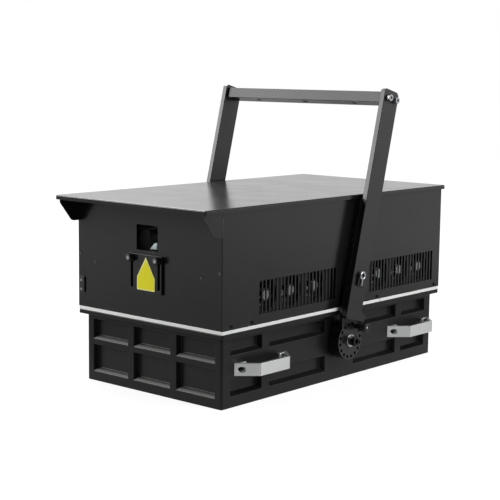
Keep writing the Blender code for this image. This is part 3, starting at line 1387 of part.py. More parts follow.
def build():
    """Builds every piece of the projector."""
    for old in list(bpy.data.objects):
        bpy.data.objects.remove(old)

    black = material("black_powder_coat", (0.020, 0.020, 0.021), 0.38)
    tray_black = material("tray_powder_coat", (0.018, 0.018, 0.019), 0.42)
    yoke_black = material("yoke_powder_coat", (0.045, 0.046, 0.046), 0.34)
    seal = material("seal_silicone", (0.72, 0.73, 0.72), 0.55)
    bright = material("brushed_aluminium", (0.62, 0.62, 0.61), 0.32, 1.0)
    zinc = material("zinc_plated_steel", (0.55, 0.55, 0.54), 0.30, 1.0)
    dark_steel = material("blackened_steel", (0.03, 0.03, 0.032), 0.35, 0.6)
    plastic = material("black_plastic", (0.015, 0.015, 0.016), 0.45)
    glass = material("coated_glass", (0.80, 0.85, 0.86), 0.03)
    mirror = material("front_coated_mirror", (0.80, 0.82, 0.84), 0.05, 1.0)
    raw = material("machined_aluminium", (0.50, 0.50, 0.50), 0.40, 1.0)
    steel = material("galvanised_sheet", (0.42, 0.43, 0.43), 0.45, 1.0)
    board = material("green_circuit_board", (0.02, 0.10, 0.04), 0.50)
    display = material("dark_display", (0.010, 0.012, 0.016), 0.12)
    red = material("red_anodised", (0.35, 0.03, 0.03), 0.38, 0.8)
    green = material("green_anodised", (0.03, 0.25, 0.06), 0.38, 0.8)
    blue = material("blue_anodised", (0.03, 0.06, 0.35), 0.38, 0.8)

    make_tray(tray_black)
    make_seal(seal)
    make_top_cover(black)
    make_side_panel("side_panel_right", 1, black)
    make_side_panel("side_panel_left", -1, black)
    make_front_panel(black)
    make_rear_panel(black)
    make_window(glass)
    make_mask(black)
    make_thumb_screw("thumb_screw_left", -1, plastic)
    make_thumb_screw("thumb_screw_right", 1, plastic)
    make_edge_cover(plastic)
    make_fan_carriers(plastic)
    make_fan_rotors(plastic)

    yoke = empty("yoke_axis", (0, PIVOT_Y, PIVOT_Z), (-YOKE_LEAN, 0, 0))
    make_yoke_legs(yoke, yoke_black)
    make_crossbar(yoke, yoke_black)
    make_yoke_screws(yoke, dark_steel)
    make_index_plates(yoke, yoke_black)
    make_pull_knobs(yoke, plastic)
    make_safety_eye(yoke, zinc)
    make_pivot_bosses(tray_black)
    make_pivot_bolts(zinc)
    make_handles(bright)

    make_chassis(steel)
    make_deck(raw)
    make_lasers((("red", red), ("green", green), ("blue", blue)))
    make_mirrors(mirror)
    make_scanner(raw, mirror)
    make_supply(steel)
    make_board(board)

    make_power_entry(plastic)
    make_signal_entry(dark_steel)
    make_key(zinc)
    make_rocker(plastic)
    make_menu(display, plastic)


build()
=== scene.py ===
import json
import math

import bmesh
import bpy
from mathutils import Matrix, Vector
from mathutils.geometry import tessellate_polygon


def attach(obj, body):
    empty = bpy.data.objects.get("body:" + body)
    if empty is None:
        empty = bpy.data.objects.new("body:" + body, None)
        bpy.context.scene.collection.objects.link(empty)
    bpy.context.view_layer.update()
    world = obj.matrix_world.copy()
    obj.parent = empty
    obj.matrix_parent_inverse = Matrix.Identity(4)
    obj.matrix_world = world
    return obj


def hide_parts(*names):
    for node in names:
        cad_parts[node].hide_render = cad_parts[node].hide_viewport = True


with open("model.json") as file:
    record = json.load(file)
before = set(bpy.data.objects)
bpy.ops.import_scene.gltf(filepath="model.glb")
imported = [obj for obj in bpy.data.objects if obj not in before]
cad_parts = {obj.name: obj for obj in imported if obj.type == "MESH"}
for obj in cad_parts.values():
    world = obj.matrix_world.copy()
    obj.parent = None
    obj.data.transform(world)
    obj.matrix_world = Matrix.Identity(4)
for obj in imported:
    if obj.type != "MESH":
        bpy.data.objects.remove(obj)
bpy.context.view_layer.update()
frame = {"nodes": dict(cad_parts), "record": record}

# Places and sizes of the projector, in metres, as its parts have them
GAP = 0.0003
HALF_WIDTH = 0.180
HALF_LENGTH = 0.332
FRONT = -HALF_LENGTH
REAR_FACE = HALF_LENGTH + GAP
TRAY_SIDE = 0.169
PIVOT = (0.011, 0.076)
LEAN = math.radians(14.3)
LEG_OUTER = 0.2040
LEG_FRONT, LEG_REAR = -0.0385, 0.0075
YOKE_SCREW_HEIGHT, YOKE_SCREW_STEP = 0.4605, 0.011
MASK_FACE = FRONT - 0.0048
THUMB_X, THUMB_Z = 0.0335, 0.2460
POWER_HEIGHT = 0.2002
SIGNAL_HEIGHT = 0.2852

# The index plate at the foot of each leg, and the boss that it turns on
PLATE_INNER, PLATE_OUTER = 0.1880, 0.1940
HOLE_COUNT = 16
HOLE_STEP = 2 * math.pi / HOLE_COUNT
PIN_HOLE = 1
PIN_BORE = 0.0028
INDEX_RADIUS, INDEX_RING, INDEX_HOLE = 0.0363, 0.0307, 0.0031
INDEX_THROAT, INDEX_TONGUE, INDEX_CORNER = 0.045, 0.105, 0.006
INDEX_SHOULDER = math.radians(300)
BOSS_RADIUS, BOSS_HOLE = 0.0352, 0.0033
BOLT_BORE = 0.0064

# Two banks of three fans, and the blank discs on their hubs
FAN_BANKS = (-0.1359, 0.2040)
FAN_PITCH = 0.069
FAN_ROWS = [bank + step * FAN_PITCH for bank in FAN_BANKS for step in (-1, 0, 1)]
FAN_HEIGHT = 0.1866
HUB_FACE, HUB_RADIUS, HUB_FOIL = 0.1670, 0.0088, 0.0002

# Two strap handles a side, each on two pairs of screws
HANDLE_PLACES = (-0.218, 0.238)
HANDLE_HEIGHT = 0.0665
HANDLE_REACH, HANDLE_PAIR = 0.0515, 0.006
STRAP_FACE = TRAY_SIDE + GAP + 0.0055

# Screw heads: head radius, head height, socket radius, socket depth
SCREW_SIZES = ("Head Radius", "Head Height", "Socket Radius", "Socket Depth")
HOOD_SCREW = (0.0035, 0.0018, 0.0014, 0.0012)
SMALL_SCREW = (0.0028, 0.0014, 0.0011, 0.0009)
HANDLE_SCREW = (0.0042, 0.0026, 0.0018, 0.0016)

# The photograph's view, solved from the edges of the hood and the tray
PHOTO_WIDTH = 500
FOCAL_PIXELS = 1304.024
SENSOR_MM = 36.0
CAMERA_PLACE = (1.6229, -1.9307, 0.5813)
AZIMUTH, ELEVATION, ROLL = math.radians(40.873), math.radians(7.96), math.radians(0.677)


def linear(code):
    """An sRGB hex colour as linear RGBA."""
    parts = [int(code[i:i + 2], 16) / 255 for i in (1, 3, 5)]
    return [p / 12.92 if p <= 0.04045 else ((p + 0.055) / 1.055) ** 2.4 for p in parts] + [1.0]


def add(tree, kind, settings=None, links=None):
    """Adds a node, sets its options and socket values, and joins sockets to it."""
    node = tree.nodes.new(kind)
    for key, value in (settings or {}).items():
        if isinstance(key, str) and hasattr(node, key):
            setattr(node, key, value)
        else:
            node.inputs[key].default_value = value
    for key, source in (links or {}).items():
        tree.links.new(source, node.inputs[key])
    return node


def start_material(name, sockets):
    """A material with its shader's sockets set: it, its tree, its shader and its Object coordinates."""
    made = bpy.data.materials.new(name)
    made.use_nodes = True
    tree = made.node_tree
    shader = tree.nodes["Principled BSDF"]
    for key, value in sockets.items():
        shader.inputs[key].default_value = linear(value) if isinstance(value, str) else value
    return made, tree, shader, add(tree, "ShaderNodeTexCoord").outputs["Object"]


def surface(tree, shader, tones=None, rough=None, relief=None):
    """Joins a material's patterns to its shader.

    tones is a pattern and the two colours it runs between, rough a pattern and two roughnesses,
    and relief a pattern and its real depth in millimetres.
    """
    if tones:
        pattern, dark, light = tones
        mix = add(tree, "ShaderNodeMix", {"data_type": "RGBA", 6: linear(dark), 7: linear(light)},
                  {0: pattern})
        tree.links.new(mix.outputs[2], shader.inputs["Base Color"])
    if rough:
        pattern, low, high = rough
        span = add(tree, "ShaderNodeMapRange", {"To Min": low, "To Max": high}, {"Value": pattern})
        tree.links.new(span.outputs[0], shader.inputs["Roughness"])
    if relief:
        pattern, depth_mm = relief
        bump = add(tree, "ShaderNodeBump", {"Distance": depth_mm / 1000}, {"Height": pattern})
        tree.links.new(bump.outputs[0], shader.inputs["Normal"])


def powder_coat(name, dark, light, rough, peel_mm=1.6, depth_mm=0.010, shine=0.5):
    """Baked powder paint: orange peel, and patches where the film is thicker."""
    patch_mm, speck_mm, wander = 71.4, 0.7, 0.04
    thin_film, thick_film = 0.12, 0.42
    made, tree, shader, point = start_material(name, {"Specular IOR Level": shine, "IOR": 1.5})
    peel = add(tree, "ShaderNodeTexNoise", {"Scale": 1000 / peel_mm, "Detail": 2.0}, {"Vector": point})
    patch = add(tree, "ShaderNodeTexNoise", {"Scale": 1000 / patch_mm, "Detail": 3.0}, {"Vector": point})
    speck = add(tree, "ShaderNodeTexNoise", {"Scale": 1000 / speck_mm, "Detail": 1.0}, {"Vector": point})
    both = add(tree, "ShaderNodeMath", {"operation": "MULTIPLY"},
               {0: patch.outputs[0], 1: speck.outputs[0]})
    lift = add(tree, "ShaderNodeMapRange", {"From Min": thin_film, "From Max": thick_film},
               {"Value": both.outputs[0]})
    surface(tree, shader, (lift.outputs[0], dark, light),
            (patch.outputs[0], rough - wander, rough + wander), (peel.outputs[0], depth_mm))
    return made


def paint_ledge_highlight(look, highlight_tone):
    """A painted highlight over a finish, on faces that lean up and forward, strongest on the tray's front
    wall.
    """
    lean_of_ledge, steepest, flattest = (0.0, -0.5, 0.87), 0.90, 0.97
    inner_wall, front_wall, faintest = -0.3120, -0.3180, 0.12
    tree = look.node_tree
    shader = tree.nodes["Principled BSDF"]
    place = add(tree, "ShaderNodeTexCoord")
    lean = add(tree, "ShaderNodeVectorMath", {"operation": "DOT_PRODUCT", 1: lean_of_ledge},
               {0: place.outputs["Normal"]})
    facing_lean = add(tree, "ShaderNodeMapRange", {"From Min": steepest, "From Max": flattest},
                  {"Value": lean.outputs["Value"]})
    depth = add(tree, "ShaderNodeSeparateXYZ", links={"Vector": place.outputs["Object"]})
    outer = add(tree, "ShaderNodeMapRange",
                {"From Min": inner_wall, "From Max": front_wall, "To Min": faintest},
                {"Value": depth.outputs["Y"]})
    highlight_share = add(tree, "ShaderNodeMath", {"operation": "MULTIPLY"},
                {0: facing_lean.outputs[0], 1: outer.outputs[0]})
    under = shader.inputs["Base Color"].links[0].from_socket
    # Pale grey painted in as the forward ledges' highlight
    painted_highlight = add(tree, "ShaderNodeMix", {"data_type": "RGBA", 7: linear(highlight_tone)},
               {0: highlight_share.outputs[0], 6: under})
    tree.links.new(painted_highlight.outputs[2], shader.inputs["Base Color"])


def drawn_metal(name, dark, light, rough, stretch, grain_mm, depth_mm=0.006):
    """Metal with straight drawing or brushing lines, drawn coarse enough to show."""
    cloud_mm, smoother, rougher = 33.3, 0.07, 0.09
    made, tree, shader, point = start_material(name, {"Metallic": 1.0})
    along = add(tree, "ShaderNodeMapping", {"Scale": stretch}, {"Vector": point})
    lines = add(tree, "ShaderNodeTexNoise", {"Scale": 1000 / grain_mm, "Detail": 4.0},
                {"Vector": along.outputs[0]})
    cloud = add(tree, "ShaderNodeTexNoise", {"Scale": 1000 / cloud_mm, "Detail": 2.0}, {"Vector": point})
    surface(tree, shader, (cloud.outputs[0], dark, light),
            (lines.outputs[0], rough - smoother, rough + rougher), (lines.outputs[0], depth_mm))
    return made


def moulded_plastic(name, dark, light, rough, spark_mm=0.5, depth_mm=0.015):
    """Injection-moulded plastic with a spark-eroded grain, drawn coarser than the real one to show."""
    cloud_mm, wander = 16.7, 0.05
    made, tree, shader, point = start_material(name, {"IOR": 1.49})
    grain = add(tree, "ShaderNodeTexVoronoi", {"Scale": 1000 / spark_mm}, {"Vector": point})
    cloud = add(tree, "ShaderNodeTexNoise", {"Scale": 1000 / cloud_mm, "Detail": 3.0}, {"Vector": point})
    surface(tree, shader, (cloud.outputs[0], dark, light),
            (cloud.outputs[0], rough - wander, rough + wander), (grain.outputs[0], depth_mm))
    return made


def galvanised(name, dark, light):
    """Galvanised sheet: flat crystals of zinc, each with its own tone."""
    crystal_mm, smoothest, roughest = 9.0, 0.34, 0.52
    made, tree, shader, point = start_material(name, {"Metallic": 1.0})
    cells = add(tree, "ShaderNodeTexVoronoi", {"Scale": 1000 / crystal_mm}, {"Vector": point})
    tone = add(tree, "ShaderNodeSeparateColor", links={"Color": cells.outputs["Color"]})
    surface(tree, shader, (tone.outputs[0], dark, light), (tone.outputs[1], smoothest, roughest))
    return made


def circuit_board(name, dark, light):
    """Solder-masked board: copper tracks raised under a lacquer, drawn broad enough to show."""
    track_mm, depth_mm = 3.85, 0.03
    made, tree, shader, point = start_material(name, {"Roughness": 0.4})
    tracks = add(tree, "ShaderNodeTexBrick", {
        "Scale": 1000 / track_mm, "Mortar Size": 0.012, "Brick Width": 2.2, "Row Height": 0.6},
        {"Vector": point})
    surface(tree, shader, (tracks.outputs["Fac"], dark, light), relief=(tracks.outputs["Fac"], depth_mm))
    return made


def display_pane(name, dark, light):
    """Display glass over faint rows of unlit square cells."""
    cell_mm = 4.17
    made, tree, shader, point = start_material(
        name, {"Roughness": 0.12, "Coat Weight": 0.6, "Coat Roughness": 0.04})
    cells = add(tree, "ShaderNodeTexBrick", {
        "Scale": 1000 / cell_mm, "offset": 0.0, "Mortar Size": 0.03, "Brick Width": 0.5, "Row Height": 0.5},
        {"Vector": point})
    surface(tree, shader, (cells.outputs["Fac"], dark, light))
    return made


def glass_pane(name):
    """Flat glass whose coating takes most reflection away, hence its low IOR, with the faintest haze."""
    haze_mm, roughest = 11.1, 0.04
    made, tree, shader, point = start_material(
        name, {"Transmission Weight": 1.0, "IOR": 1.06, "Base Color": "#eef4f4"})
    haze = add(tree, "ShaderNodeTexNoise", {"Scale": 1000 / haze_mm}, {"Vector": point})
    surface(tree, shader, rough=(haze.outputs[0], 0.0, roughest))
    return made


def silicone(name, dark, light):
    """Extruded silicone: matt, with long soft drawing marks round the seal, broad enough to show."""
    mark_mm, cloud_mm, depth_mm = 1.43, 40.0, 0.02
    drawn_out, smoothest, roughest = (0.08, 0.08, 1.0), 0.5, 0.65
    made, tree, shader, point = start_material(name, {"IOR": 1.41})
    along = add(tree, "ShaderNodeMapping", {"Scale": drawn_out}, {"Vector": point})
    marks = add(tree, "ShaderNodeTexNoise", {"Scale": 1000 / mark_mm, "Detail": 2.0},
                {"Vector": along.outputs[0]})
    cloud = add(tree, "ShaderNodeTexNoise", {"Scale": 1000 / cloud_mm, "Detail": 3.0}, {"Vector": point})
    surface(tree, shader, (cloud.outputs[0], dark, light),
            (marks.outputs[0], smoothest, roughest), (marks.outputs[0], depth_mm))
    return made


def enamel(name, dark, light, rough):
    """Smooth stove enamel on a small plate."""
    cloud_mm, wander = 8.33, 0.05
    made, tree, shader, point = start_material(name, {"IOR": 1.5})
    cloud = add(tree, "ShaderNodeTexNoise", {"Scale": 1000 / cloud_mm, "Detail": 3.0}, {"Vector": point})
    surface(tree, shader, (cloud.outputs[0], dark, light),
            (cloud.outputs[0], rough - wander, rough + wander))
    return made


# Which way a metal's lines run: all ways, along the length, or across the width
EVEN, LENGTHWISE, CROSSWISE = (1.0, 1.0, 1.0), (1.0, 0.05, 1.0), (0.06, 1.0, 1.0)

# Satin black polyester powder on the hood's sheets: deep black, soft highlights
hood_paint = powder_coat("powder_coated_steel_satin_black", "#111112", "#171717", 0.205)
# The same powder on the cast tray, a little rougher, with a painted highlight on its front ledges
tray_paint = powder_coat("powder_coated_casting_black", "#111111", "#171718", 0.34, 2.2, 0.012, 0.28)
paint_ledge_highlight(tray_paint, "#858583")
# The yoke's flat bars, slightly greyer under the light
yoke_paint = powder_coat("powder_coated_flat_bar_black", "#161616", "#1d1d1e", 0.27)
# The legs' powder copied for the crossbar, a little darker and duller than the legs': painted shade on the
# bar
shaded_bar_paint = powder_coat("powder_coated_crossbar_black_painted_shade", "#151515", "#1b1b1c", 0.30, shine=0.38)
# Pale extruded silicone between tray and hood, nearly white
seal_silicone = silicone("extruded_silicone_pale_grey", "#eef1ee", "#fafbf9")
# Brushed strap of the handles: bright, with lines along the strap
strap_metal = drawn_metal("brushed_aluminium_strap", "#d2d3d3", "#e4e5e5", 0.46, LENGTHWISE, 0.5, 0.004)
# Bright zinc on turned fasteners and the eye
zinc = drawn_metal("zinc_plated_steel", "#a9abac", "#c4c6c8", 0.28, EVEN, 0.8, 0.003)
# Black oxide on socket screws: dark, with an oily sheen
black_oxide = drawn_metal("black_oxide_steel", "#2a2a2b", "#363637", 0.36, EVEN, 0.6, 0.003)
# Dull nickel of the small screws on the front
dull_nickel = drawn_metal("nickel_plated_steel_dull", "#58595a", "#6a6b6c", 0.42, EVEN, 0.6, 0.003)
# Glass-filled nylon of knobs, buttons and sockets: black, with a fine grain
nylon = moulded_plastic("moulded_nylon_black", "#141415", "#1b1b1c", 0.42)
# Blades and frames of the fans, smoother and duller than the knobs
fan_plastic = moulded_plastic("moulded_pbt_black", "#121213", "#181819", 0.48, 0.7, 0.008)
# Plain blank discs on the fans' hubs: soft grey, like foil
hub_foil = enamel("aluminium_foil_blank", "#8d8f90", "#a3a5a6", 0.45)
# Yellow enamel of the blank plate on the mask
yellow_plate = enamel("yellow_enamel_blank", "#ebe40a", "#f0ea16", 0.30)
# The plate's plain rim, a paler yellow
yellow_edge = enamel("yellow_enamel_border", "#f0ee88", "#f5f398", 0.30)
# Milled faces of the optical deck: fine cutter lines
milled = drawn_metal("milled_aluminium", "#9b9d9e", "#b3b5b6", 0.38, CROSSWISE, 0.7, 0.006)
# First-surface mirrors: polished, with no relief at all
silvered = drawn_metal("silvered_mirror", "#dfe2e5", "#e6e9ec", 0.08, EVEN, 2.0, 0.0)
# Anodised laser housings: coloured metal with brushing lines under the dye
red_anodised = drawn_metal("anodised_aluminium_red", "#7c1f1f", "#8c2a2a", 0.36, CROSSWISE, 0.6)
green_anodised = drawn_metal("anodised_aluminium_green", "#1d6b34", "#287a40", 0.36, CROSSWISE, 0.6)
blue_anodised = drawn_metal("anodised_aluminium_blue", "#1f3c86", "#2a4a98", 0.36, CROSSWISE, 0.6)
# Black anodising on the scanner's block, so that no stray light leaves it
black_anodised = drawn_metal("anodised_aluminium_black", "#161617", "#1d1d1e", 0.40, CROSSWISE, 0.6)
# Gold flash on contact pins: warm and bright
gold_flash = drawn_metal("gold_flashed_brass", "#c9a54a", "#d8b65c", 0.25, EVEN, 0.8, 0.002)
# Galvanised chassis, power supply and gusset: a patchwork of grey crystals
zinc_sheet = galvanised("galvanised_sheet_steel", "#8f9292", "#b4b7b7")
# Green lacquer over copper tracks
board_green = circuit_board("solder_masked_board", "#0d3b1d", "#1c5a30")
# A display that is off: nearly black, glossy
display_glass = display_pane("display_glass_dark", "#10161d", "#090b0e")
# The pane behind the aperture: clear, so that the dark inside shows
window_glass = glass_pane("coated_float_glass")


def across_x(a, b, h):
    """A point drawn on a plane across X, at h along it."""
    return Vector((h, a, b))


def across_y(a, b, h):
    """A point drawn on a plane across Y, at h along it."""
    return Vector((a, h, b))


def in_yoke(a, b, h):
    """From the yoke's own frame, leaning back from its pivot, to the projector's."""
    y = PIVOT[0] + b * math.sin(LEAN) + a * math.cos(LEAN)
    z = PIVOT[1] + b * math.cos(LEAN) - a * math.sin(LEAN)
    return Vector((h, y, z))


def up_yoke(x, a, b):
    """The yoke's own frame again, for what is extruded along its legs."""
    return in_yoke(a, b, x)


def circle(radius, count, centre=(0.0, 0.0)):
    """Points round a circle."""
    turns = [2 * math.pi / count * i for i in range(count)]
    return [(centre[0] + radius * math.cos(turn), centre[1] + radius * math.sin(turn)) for turn in turns]


def rounded(width, height, radius, centre, steps=4):
    """A rectangle with round corners."""
    points = []
    for quarter, (a, b) in enumerate(((1, 1), (-1, 1), (-1, -1), (1, -1))):
        corner = (centre[0] + a * (width / 2 - radius), centre[1] + b * (height / 2 - radius))
        for i in range(steps + 1):
            turn = (quarter + i / steps) * math.pi / 2
            points.append((corner[0] + radius * math.cos(turn), corner[1] + radius * math.sin(turn)))
    return points


def on_side(side, profile):
    """A profile drawn for the right, at its own side."""
    return [(radius, side * x) for radius, x in profile]


def between(side, near, far):
    """Two planes across X drawn for the right, at their own side, the lower first."""
    return sorted((side * near, side * far))


def plate(loops, low, high, way, bm=None):
    """A sheet between two planes: an outline, then any holes through it."""
    bm = bm or bmesh.new()
    ends = []
    for loop in loops:
        rings = [[bm.verts.new(way(a, b, h)) for a, b in loop] for h in (low, high)]
        for i in range(len(loop)):
            j = (i + 1) % len(loop)
            bm.faces.new((rings[0][i], rings[0][j], rings[1][j], rings[1][i]))
        ends.append(rings)
    for side in (0, 1):
        rim = [v for rings in ends for v in rings[side]]
        if len(loops) == 1:
            bm.faces.new(rim)
        else:
            flat = [[Vector((a, b, 0)) for a, b in loop] for loop in loops]
            for corners in tessellate_polygon(flat):
                bm.faces.new([rim[i] for i in corners])
    return bm


def turned(profile, count, way, centre, flutes=0, flute=0.0):
    """A turned piece from (radius, place) points; flutes ripple its widest part."""
    bm = bmesh.new()
    fluted = max(radius for radius, _ in profile) * 0.8
    rings = []
    for radius, along in profile:
        if radius == 0:
            rings.append([bm.verts.new(way(*centre, along))])
            continue
        ring = []
        for i in range(count):
            angle = 2 * math.pi * i / count
            cut = flute * (0.5 - 0.5 * math.cos(flutes * angle)) if radius > fluted else 0.0
            a = centre[0] + (radius - cut) * math.cos(angle)
            b = centre[1] + (radius - cut) * math.sin(angle)
            ring.append(bm.verts.new(way(a, b, along)))
        rings.append(ring)
    for near, far in zip(rings, rings[1:]):
        for i in range(count):
            j = (i + 1) % count
            if len(near) == 1:
                bm.faces.new((near[0], far[i], far[j]))
            elif len(far) == 1:
                bm.faces.new((near[i], far[0], near[j]))
            else:
                bm.faces.new((near[i], near[j], far[j], far[i]))
    return bm


def shape(name, bm):
    """An object made from a mesh under work, its faces pointing outwards."""
    bmesh.ops.recalc_face_normals(bm, faces=bm.faces[:])
    mesh = bpy.data.meshes.new(name)
    bm.to_mesh(mesh)
    bm.free()
    made = bpy.data.objects.new(name, mesh)
    bpy.context.scene.collection.objects.link(made)
    return made


def settle(made, step):
    """Makes a modifier's result the object's own plain mesh."""
    bpy.context.view_layer.update()
    graph = bpy.context.evaluated_depsgraph_get()
    result = bpy.data.meshes.new_from_object(made.evaluated_get(graph))
    made.modifiers.remove(step)
    made.data = result


def piece(name, bm, body, look, ease_mm=0.0, angle=35, segments=2, node=None):
    """A finished piece with its edges eased, riding on a body and standing for a node if named."""
    made = shape(name, bm)
    made.data.materials.append(look)
    made.data.shade_smooth()
    made.data.set_sharp_from_angle(angle=math.radians(angle))
    if ease_mm:
        ease_edges(made, ease_mm, angle, segments)
    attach(made, body)
    if node:
        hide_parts(node)
    return made


def ease_edges(made, ease_mm, angle, segments):
    """A small radius on every sharp edge, with the flat faces kept flat to the light."""
    step = made.modifiers.new("eased_edges", "BEVEL")
    step.width = ease_mm / 1000
    step.segments = segments
    step.limit_method = "ANGLE"
    step.angle_limit = math.radians(angle)
    step.use_clamp_overlap = True
    level = made.modifiers.new("flat_faces", "WEIGHTED_NORMAL")
    level.mode = "FACE_AREA"
    level.weight = 100
    level.keep_sharp = True


def body_named(node):
    """The body that a node rides on."""
    for name, nodes in frame["record"]["behaviour"]["bodies"].items():
        if node in nodes:
            return name
    return "housing"


def eased(node, look, ease_mm, angle, segments):
    """The node's own shape with its edges eased, standing for the node."""
    bm = bmesh.new()
    bm.from_mesh(frame["nodes"][node].data)
    bmesh.ops.remove_doubles(bm, verts=bm.verts[:], dist=0.00001)
    bmesh.ops.dissolve_limit(bm, angle_limit=math.radians(0.5), verts=bm.verts[:], edges=bm.edges[:])
    piece(node + "_finished", bm, body_named(node), look, ease_mm, angle, segments, node)


def hexagon_socket(target, radius, low, high, way, centre):
    """A six-sided recess for a key, cut for good into a screw's end."""
    tool = shape("key", plate([circle(radius, 6, centre)], low, high, way))
    step = target.modifiers.new("cut", "BOOLEAN")
    step.operation = "DIFFERENCE"
    step.solver = "EXACT"
    step.object = tool
    settle(target, step)
    bpy.data.objects.remove(tool)


def screw_tree():
    """Geometry Nodes: a pan-head socket screw on every point, along its facing."""
    sides, crown_share = 20, 0.80
    tree = bpy.data.node_groups.new("screw_heads", "GeometryNodeTree")
    face = tree.interface
    face.new_socket("Geometry", in_out="INPUT", socket_type="NodeSocketGeometry")
    for name, value in zip(SCREW_SIZES, HOOD_SCREW):
        made = face.new_socket(name, in_out="INPUT", socket_type="NodeSocketFloat")
        made.default_value = value
    face.new_socket("Finish", in_out="INPUT", socket_type="NodeSocketMaterial")
    face.new_socket("Geometry", in_out="OUTPUT", socket_type="NodeSocketGeometry")
    inn = add(tree, "NodeGroupInput")
    crown = add(tree, "ShaderNodeMath", {"operation": "MULTIPLY", 1: crown_share},
                {0: inn.outputs["Head Radius"]})
    head = add(tree, "GeometryNodeMeshCone", {"Vertices": sides}, {
        "Radius Top": crown.outputs[0], "Radius Bottom": inn.outputs["Head Radius"],
        "Depth": inn.outputs["Head Height"]})
    twice = add(tree, "ShaderNodeMath", {"operation": "MULTIPLY", 1: 2.0}, {0: inn.outputs["Socket Depth"]})
    socket = add(tree, "GeometryNodeMeshCylinder", {"Vertices": 6}, {
        "Radius": inn.outputs["Socket Radius"], "Depth": twice.outputs[0]})
    lift = add(tree, "ShaderNodeCombineXYZ", links={"Z": inn.outputs["Head Height"]})
    raised = add(tree, "GeometryNodeTransform", links={
        "Geometry": socket.outputs[0], "Translation": lift.outputs[0]})
    drilled = add(tree, "GeometryNodeMeshBoolean", {"operation": "DIFFERENCE", "solver": "EXACT"}, {
        "Mesh 1": head.outputs[0], "Mesh 2": raised.outputs[0]})
    facing = add(tree, "GeometryNodeInputNamedAttribute", {"data_type": "FLOAT_VECTOR", "Name": "facing"})
    turn = add(tree, "FunctionNodeAlignRotationToVector", {"axis": "Z"}, {"Vector": facing.outputs[0]})
    points = add(tree, "GeometryNodeMeshToPoints", links={"Mesh": inn.outputs["Geometry"]})
    many = add(tree, "GeometryNodeInstanceOnPoints", links={
        "Points": points.outputs[0], "Instance": drilled.outputs[0], "Rotation": turn.outputs[0]})
    real = add(tree, "GeometryNodeRealizeInstances", links={0: many.outputs[0]})
    look = add(tree, "GeometryNodeSetMaterial", links={
        "Geometry": real.outputs[0], "Material": inn.outputs["Finish"]})
    add(tree, "NodeGroupOutput", links={0: look.outputs[0]})
    return tree


SCREWS = screw_tree()


def screws(name, spots, look, sizes):
    """Screw heads on the housing at (place, facing) spots, made a plain mesh."""
    mesh = bpy.data.meshes.new(name)
    mesh.from_pydata([tuple(place) for place, _ in spots], [], [])
    facing = mesh.attributes.new("facing", "FLOAT_VECTOR", "POINT")
    facing.data.foreach_set("vector", [v for _, way in spots for v in way])
    made = bpy.data.objects.new(name, mesh)
    bpy.context.scene.collection.objects.link(made)
    step = made.modifiers.new("screws", "NODES")
    step.node_group = SCREWS
    inputs = {i.name: i.identifier for i in SCREWS.interface.items_tree if i.in_out == "INPUT"}
    for key, value in zip(SCREW_SIZES + ("Finish",), sizes + (look,)):
        step[inputs[key]] = value
    settle(made, step)
    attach(made, "housing")


# Nodes that keep their own shape with their edges eased: the finish, the edge's radius in millimetres,
# the angle in degrees past which an edge is eased, the bevel's segments, and the nodes
KEPT_SHAPES = (
    (tray_paint, 1.2, 30, 3, ("base_tray",)),
    (seal_silicone, 0.5, 35, 2, ("seal_gasket",)),
    (hood_paint, 0.5, 50, 2, ("top_cover",)),
    (hood_paint, 0.25, 35, 1, ("side_panel_right", "side_panel_left", "front_panel", "rear_panel")),
    (hood_paint, 0.4, 50, 2, ("mask_plate",)),
    (nylon, 0.5, 50, 2, ("edge_cover", "power_rocker")),
    (nylon, 0.4, 50, 2, ("power_entry",)),
    (nylon, 0.3, 50, 2, ("menu_button_1", "menu_button_2", "menu_button_3", "menu_button_4")),
    (zinc_sheet, 0.4, 50, 1, ("chassis_plate",)),
    (zinc_sheet, 0.8, 50, 1, ("power_supply",)),
    (milled, 0.5, 50, 1, ("optical_deck",)),
    (board_green, 0.15, 50, 1, ("control_board",)),
    (black_oxide, 0.3, 50, 2, ("signal_entry",)),
    (zinc, 0.3, 50, 2, ("switch_key",)),
    (black_anodised, 0.5, 50, 2, ("scanner_block",)),
    (silvered, 0.2, 50, 1, ("combining_mirrors",)),
    (silvered, 0.15, 50, 1, ("galvo_x_mirror", "galvo_y_mirror")),
    (red_anodised, 0.8, 50, 2, ("laser_red",)),
    (green_anodised, 0.8, 50, 2, ("laser_green",)),
    (blue_anodised, 0.8, 50, 2, ("laser_blue",)),
    (yoke_paint, 0.6, 35, 2, ("yoke_leg_right", "yoke_leg_left")),
    (shaded_bar_paint, 0.6, 35, 2, ("yoke_crossbar",)),
    (strap_metal, 0.8, 35, 3, (
        "handle_front_right", "handle_front_left", "handle_rear_right", "handle_rear_left")),
)
for look, ease_mm, angle, segments, nodes in KEPT_SHAPES:
    for node in nodes:
        eased(node, look, ease_mm, angle, segments)

# Nodes that only take a finish
PAINTED = (
    (fan_plastic, ["fan_carrier_front", "fan_carrier_rear"] + ["fan_rotor_%d" % n for n in range(1, 7)]),
    (window_glass, ["exit_window"]),
    (display_glass, ["menu_display"]),
)
for look, nodes in PAINTED:
    for node in nodes:
        finish = frame["nodes"][node].data.materials
        finish.clear()
        finish.append(look)


